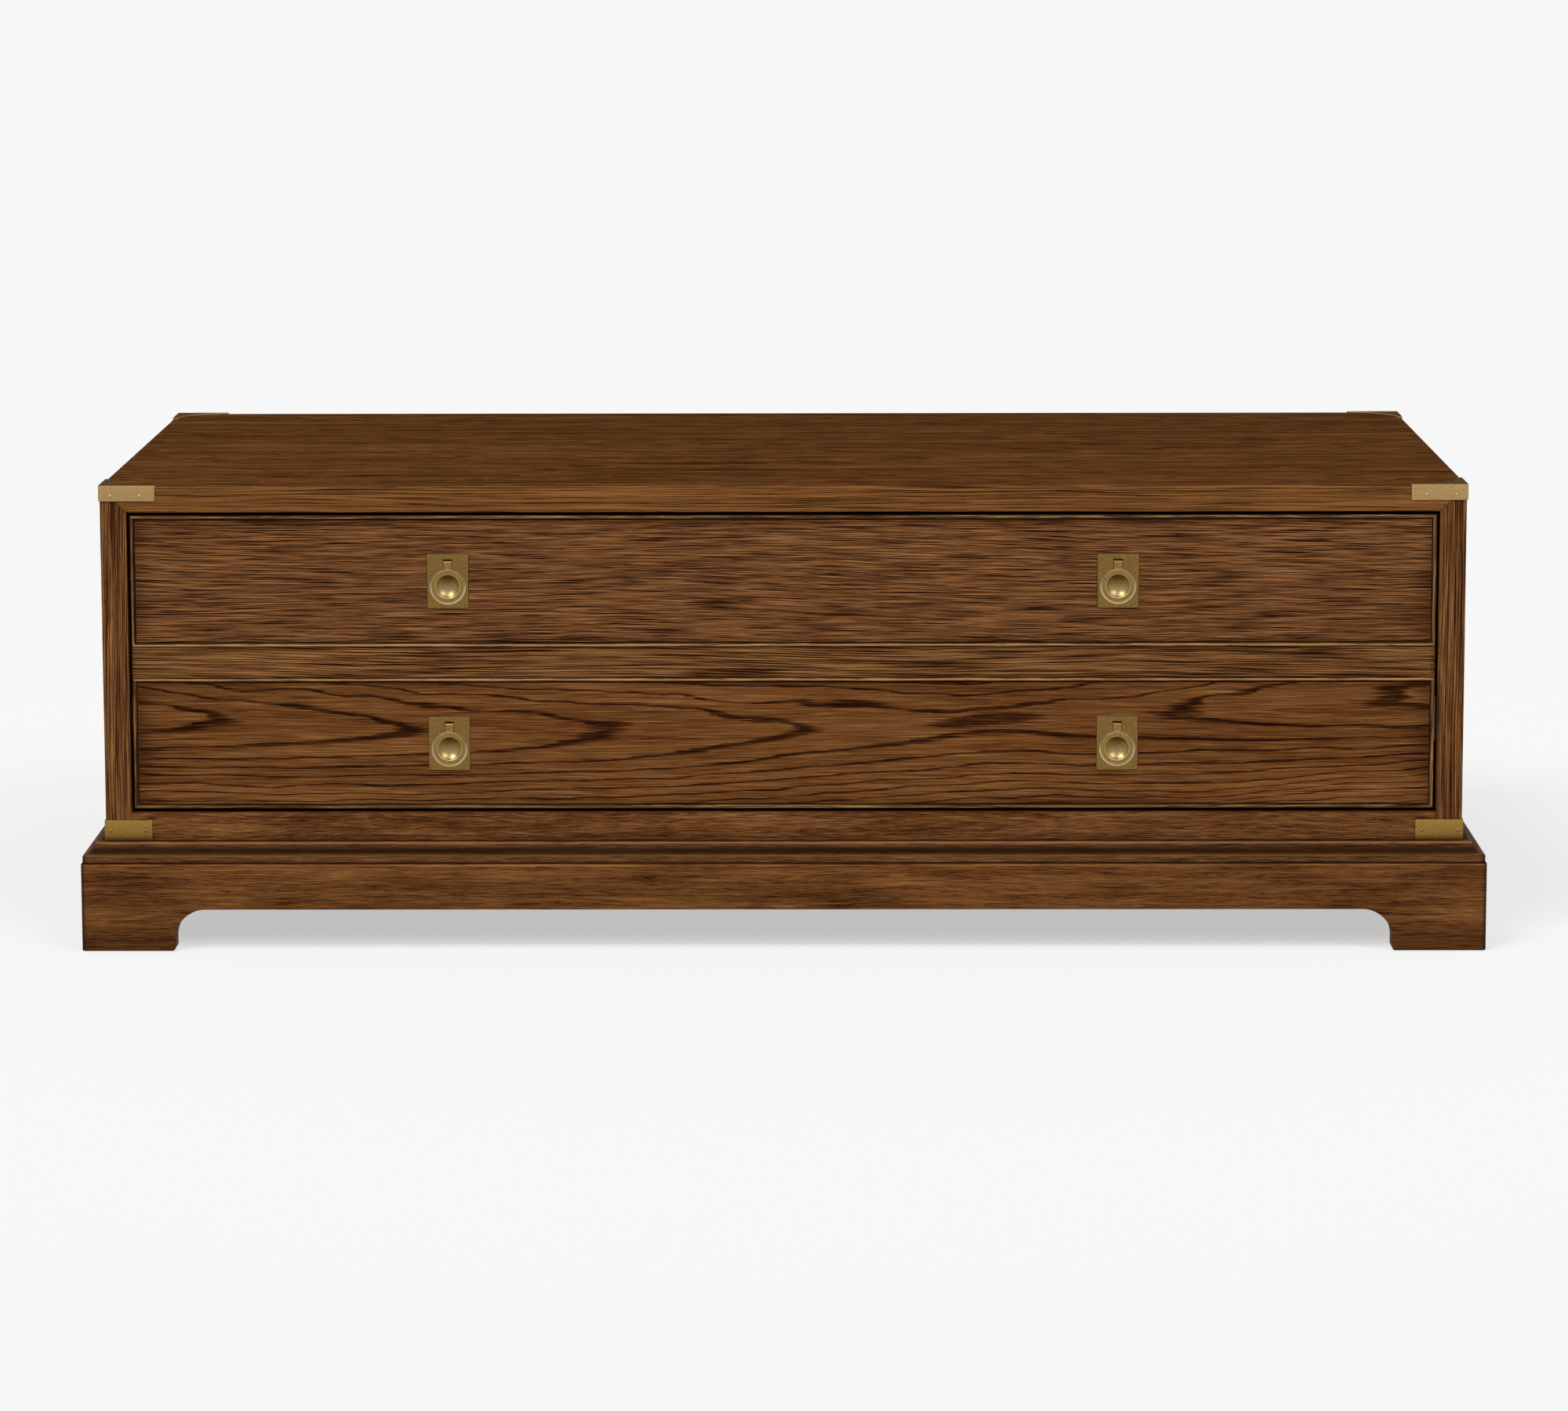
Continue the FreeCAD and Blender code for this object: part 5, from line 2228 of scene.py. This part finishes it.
@dataclass
class DrawerBox:
    """The dovetailed box, its slides and the fasteners, which keep the frame's own meshes."""

    ends: tuple[str, ...] = ("drawer_box_front", "drawer_box_back")
    lengthwise: tuple[str, ...] = (
        "drawer_box_left",
        "drawer_box_right",
        "drawer_bottom",
        "drawer_bottom_braces",
        "bottom_panel",
    )
    blocks: tuple[str, ...] = ("plinth_corner_blocks", "base_cleats")
    members: tuple[str, ...] = ("outer", "middle", "inner")
    screws: tuple[str, ...] = (
        "base_screws",
        "slide_case_screws",
        "slide_box_screws",
        "pull_screws",
        "face_screws",
    )
    block_pale: Colour = colour(178, 146, 104)
    block_dark: Colour = colour(128, 96, 62)
    screw_bright: Colour = colour(196, 190, 168)
    screw_dull: Colour = colour(142, 136, 116)

    def build(self, frame: dict) -> None:
        """Dresses the box, the slides and what holds them.
        """
        slides = [f"slide_{part}_{side}" for part in self.members for side in ("left", "right")]
        blocks = PlainWood(
            "wood_blocks", Grain.UPRIGHT, self.block_dark, self.block_pale, roughness=0.7
        )
        screws = PlatedSteel("screw_steel", self.screw_bright, self.screw_dull, roughness=0.3)
        glide = Moulded("glide_plastic", colour(34, 33, 32), colour(58, 56, 54), roughness=0.45)
        rubber = Moulded("bumper_rubber", colour(28, 28, 28), colour(46, 45, 44), roughness=0.7)
        repaint(self.ends, PlainWood("wood_box_ends", Grain.ALONG_X).make(), frame)
        repaint(self.lengthwise, PlainWood("wood_box_sides", Grain.ALONG_Y).make(), frame)
        repaint(self.blocks, blocks.make(), frame)
        repaint(slides, PlatedSteel("slide_steel").make(), frame)
        repaint(self.screws, screws.make(), frame)
        repaint(["floor_glides"], glide.make(), frame)
        repaint(["slide_bumpers"], rubber.make(), frame)


@dataclass(frozen=True)
class Lamp:
    """A broad soft lamp, by the way that it shines from, in degrees. Azimuth 0 is the front."""

    name: str
    azimuth: float
    elevation: float
    strength: float
    spread: float


@dataclass
class Studio:
    """The pale floor, the soft lamps and the camera."""

    backdrop: float = linear(247 / 255)
    floor_size: float = 60.0
    camera_place: tuple[float, float, float] = (0.0420, -5.5868, 1.0871)
    pitch_down: float = 8.332
    yaw: float = -0.446
    roll: float = -0.122
    focal_pixels: float = 6957.2
    shift_up: float = -0.05
    sky: float = 0.36
    floor_bounce: float = 0.8
    floor_glow: float = 0.51
    floor_shade: float = 0.475
    open_glow: float = 0.7
    open_shade: float = 0.26
    footprint: tuple[float, float] = (686 * MM, 355.5 * MM)
    footprint_edge: tuple[float, float] = (-100 * MM, 10 * MM)
    fade: tuple[float, float] = (1.1, 2.2)
    lamps: tuple[Lamp, ...] = (
        Lamp("key", azimuth=-36.0, elevation=50.0, strength=1.75, spread=24.0),
        Lamp("fill", azimuth=40.0, elevation=42.0, strength=0.95, spread=28.0),
    )

    def build(self) -> None:
        """Sets the floor, world, lamps, camera and view."""
        self._floor()
        self._world()
        for lamp in self.lamps:
            self._lamp(lamp)
        self._camera()
        bpy.context.scene.view_settings.view_transform = "Standard"

    def _floor(self) -> None:
        """A plain pale floor that keeps the table's shadow."""
        deselect_all()
        bpy.ops.mesh.primitive_plane_add(size=self.floor_size)
        floor = bpy.context.object
        floor.name = "floor"
        sheet = Sheet(bpy.data.materials.new("pale_floor"))
        seen = self._seen(sheet)
        axes = sheet.axes(sheet.place())
        reach = (axes["X"] * axes["X"] + axes["Y"] * axes["Y"]) ** 0.5
        far = reach.ramp(*self.fade)
        bounce = self._matt(sheet, self.floor_bounce)
        past = (abs(axes["X"]) - self.footprint[0]).most(abs(axes["Y"]) - self.footprint[1])
        outside = past.ramp(*self.footprint_edge)
        under = self._lit(sheet, self.floor_shade, self.floor_glow)
        beside = self._lit(sheet, self.open_shade, self.open_glow)
        plain = self._glow(sheet, self.backdrop)
        near = sheet.node("ShaderNodeMixShader", inputs={0: outside, 1: under, 2: beside})
        shown = sheet.node("ShaderNodeMixShader", inputs={0: far, 1: near, 2: plain})
        sheet.show(sheet.node("ShaderNodeMixShader", inputs={0: seen, 1: bounce, 2: shown}))
        floor.data.materials.append(sheet.owner)

    def _lit(self, sheet: Sheet, shade: float, glow: float) -> Signal:
        """A matt grey over a steady glow, which keeps its shadows pale."""
        inputs = {0: self._matt(sheet, shade), 1: self._glow(sheet, glow)}
        return sheet.node("ShaderNodeAddShader", inputs=inputs)

    @staticmethod
    def _matt(sheet: Sheet, grey: float) -> Signal:
        """A matt grey."""
        return sheet.node("ShaderNodeBsdfDiffuse", inputs={"Color": (grey, grey, grey, 1.0)})

    @staticmethod
    def _glow(sheet: Sheet, grey: float) -> Signal:
        """A grey that shows as it is written."""
        inputs = {"Color": (1.0, 1.0, 1.0, 1.0), "Strength": grey}
        return sheet.node("ShaderNodeEmission", inputs=inputs)

    @staticmethod
    def _seen(sheet: Sheet) -> Signal:
        """1 for rays that come from the camera, or off a glossy or clear surface.

        Args:
            sheet: the sheet of the floor or the world.

        Returns:
            1 for such rays, else 0.
        """
        camera = sheet.node("ShaderNodeLightPath", output="Is Camera Ray")
        gloss = camera.sibling("Is Glossy Ray")
        clear = camera.sibling("Is Transmission Ray")
        return camera.most(gloss).most(clear)

    def _world(self) -> None:
        """An even sky that shows as the pale backdrop."""
        sheet = Sheet(bpy.data.worlds.new("studio"))
        bpy.context.scene.world = sheet.owner
        pale = (self.backdrop, self.backdrop, self.backdrop, 1.0)
        soft = sheet.node("ShaderNodeBackground", inputs={"Strength": self.sky})
        plain = sheet.node("ShaderNodeBackground", inputs={"Color": pale})
        mixed = sheet.node("ShaderNodeMixShader", inputs={0: self._seen(sheet), 1: soft, 2: plain})
        sheet.show(mixed, "ShaderNodeOutputWorld")

    @staticmethod
    def _lamp(lamp: Lamp) -> None:
        """Adds one soft lamp that shines evenly on all of the table.

        Args:
            lamp: the lamp.
        """
        deselect_all()
        bpy.ops.object.light_add(type="SUN")
        made = bpy.context.object
        made.name = lamp.name + "_lamp"
        made.data.energy = lamp.strength
        made.data.angle = math.radians(lamp.spread)
        side = math.radians(lamp.azimuth)
        rise = math.radians(lamp.elevation)
        toward = Vector((-math.sin(side), math.cos(side), 0)) * math.cos(rise)
        toward.z = -math.sin(rise)
        made.rotation_euler = toward.to_track_quat("-Z", "Y").to_euler()

    def _camera(self) -> None:
        """The camera where the photograph was taken from."""
        deselect_all()
        bpy.ops.object.camera_add(location=self.camera_place)
        camera = bpy.context.object
        camera.name = "photo_camera"
        turn = Matrix.Rotation(math.radians(-self.yaw), 4, "Z")
        tilt = Matrix.Rotation(math.radians(QUARTER_TURN - self.pitch_down), 4, "X")
        roll = Matrix.Rotation(math.radians(self.roll), 4, "Z")
        camera.matrix_world = Matrix.Translation(Vector(self.camera_place)) @ turn @ tilt @ roll
        camera.data.sensor_width = SENSOR_WIDTH
        camera.data.lens = self.focal_pixels * SENSOR_WIDTH / PHOTO_WIDTH
        camera.data.shift_y = self.shift_up
        bpy.context.scene.camera = camera


def main() -> None:
    """Loads the frame and builds the table's looks round it."""
    logging.basicConfig(level=logging.INFO, format="%(name)s: %(message)s")
    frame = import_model()
    Studio().build()
    Plinth().build()
    Case().build(frame)
    CornerBrass().build()
    DrawerFace().build(frame)
    RingPulls().build(frame)
    DrawerBox().build(frame)
    deselect_all()


if __name__ == "__main__":
    main()
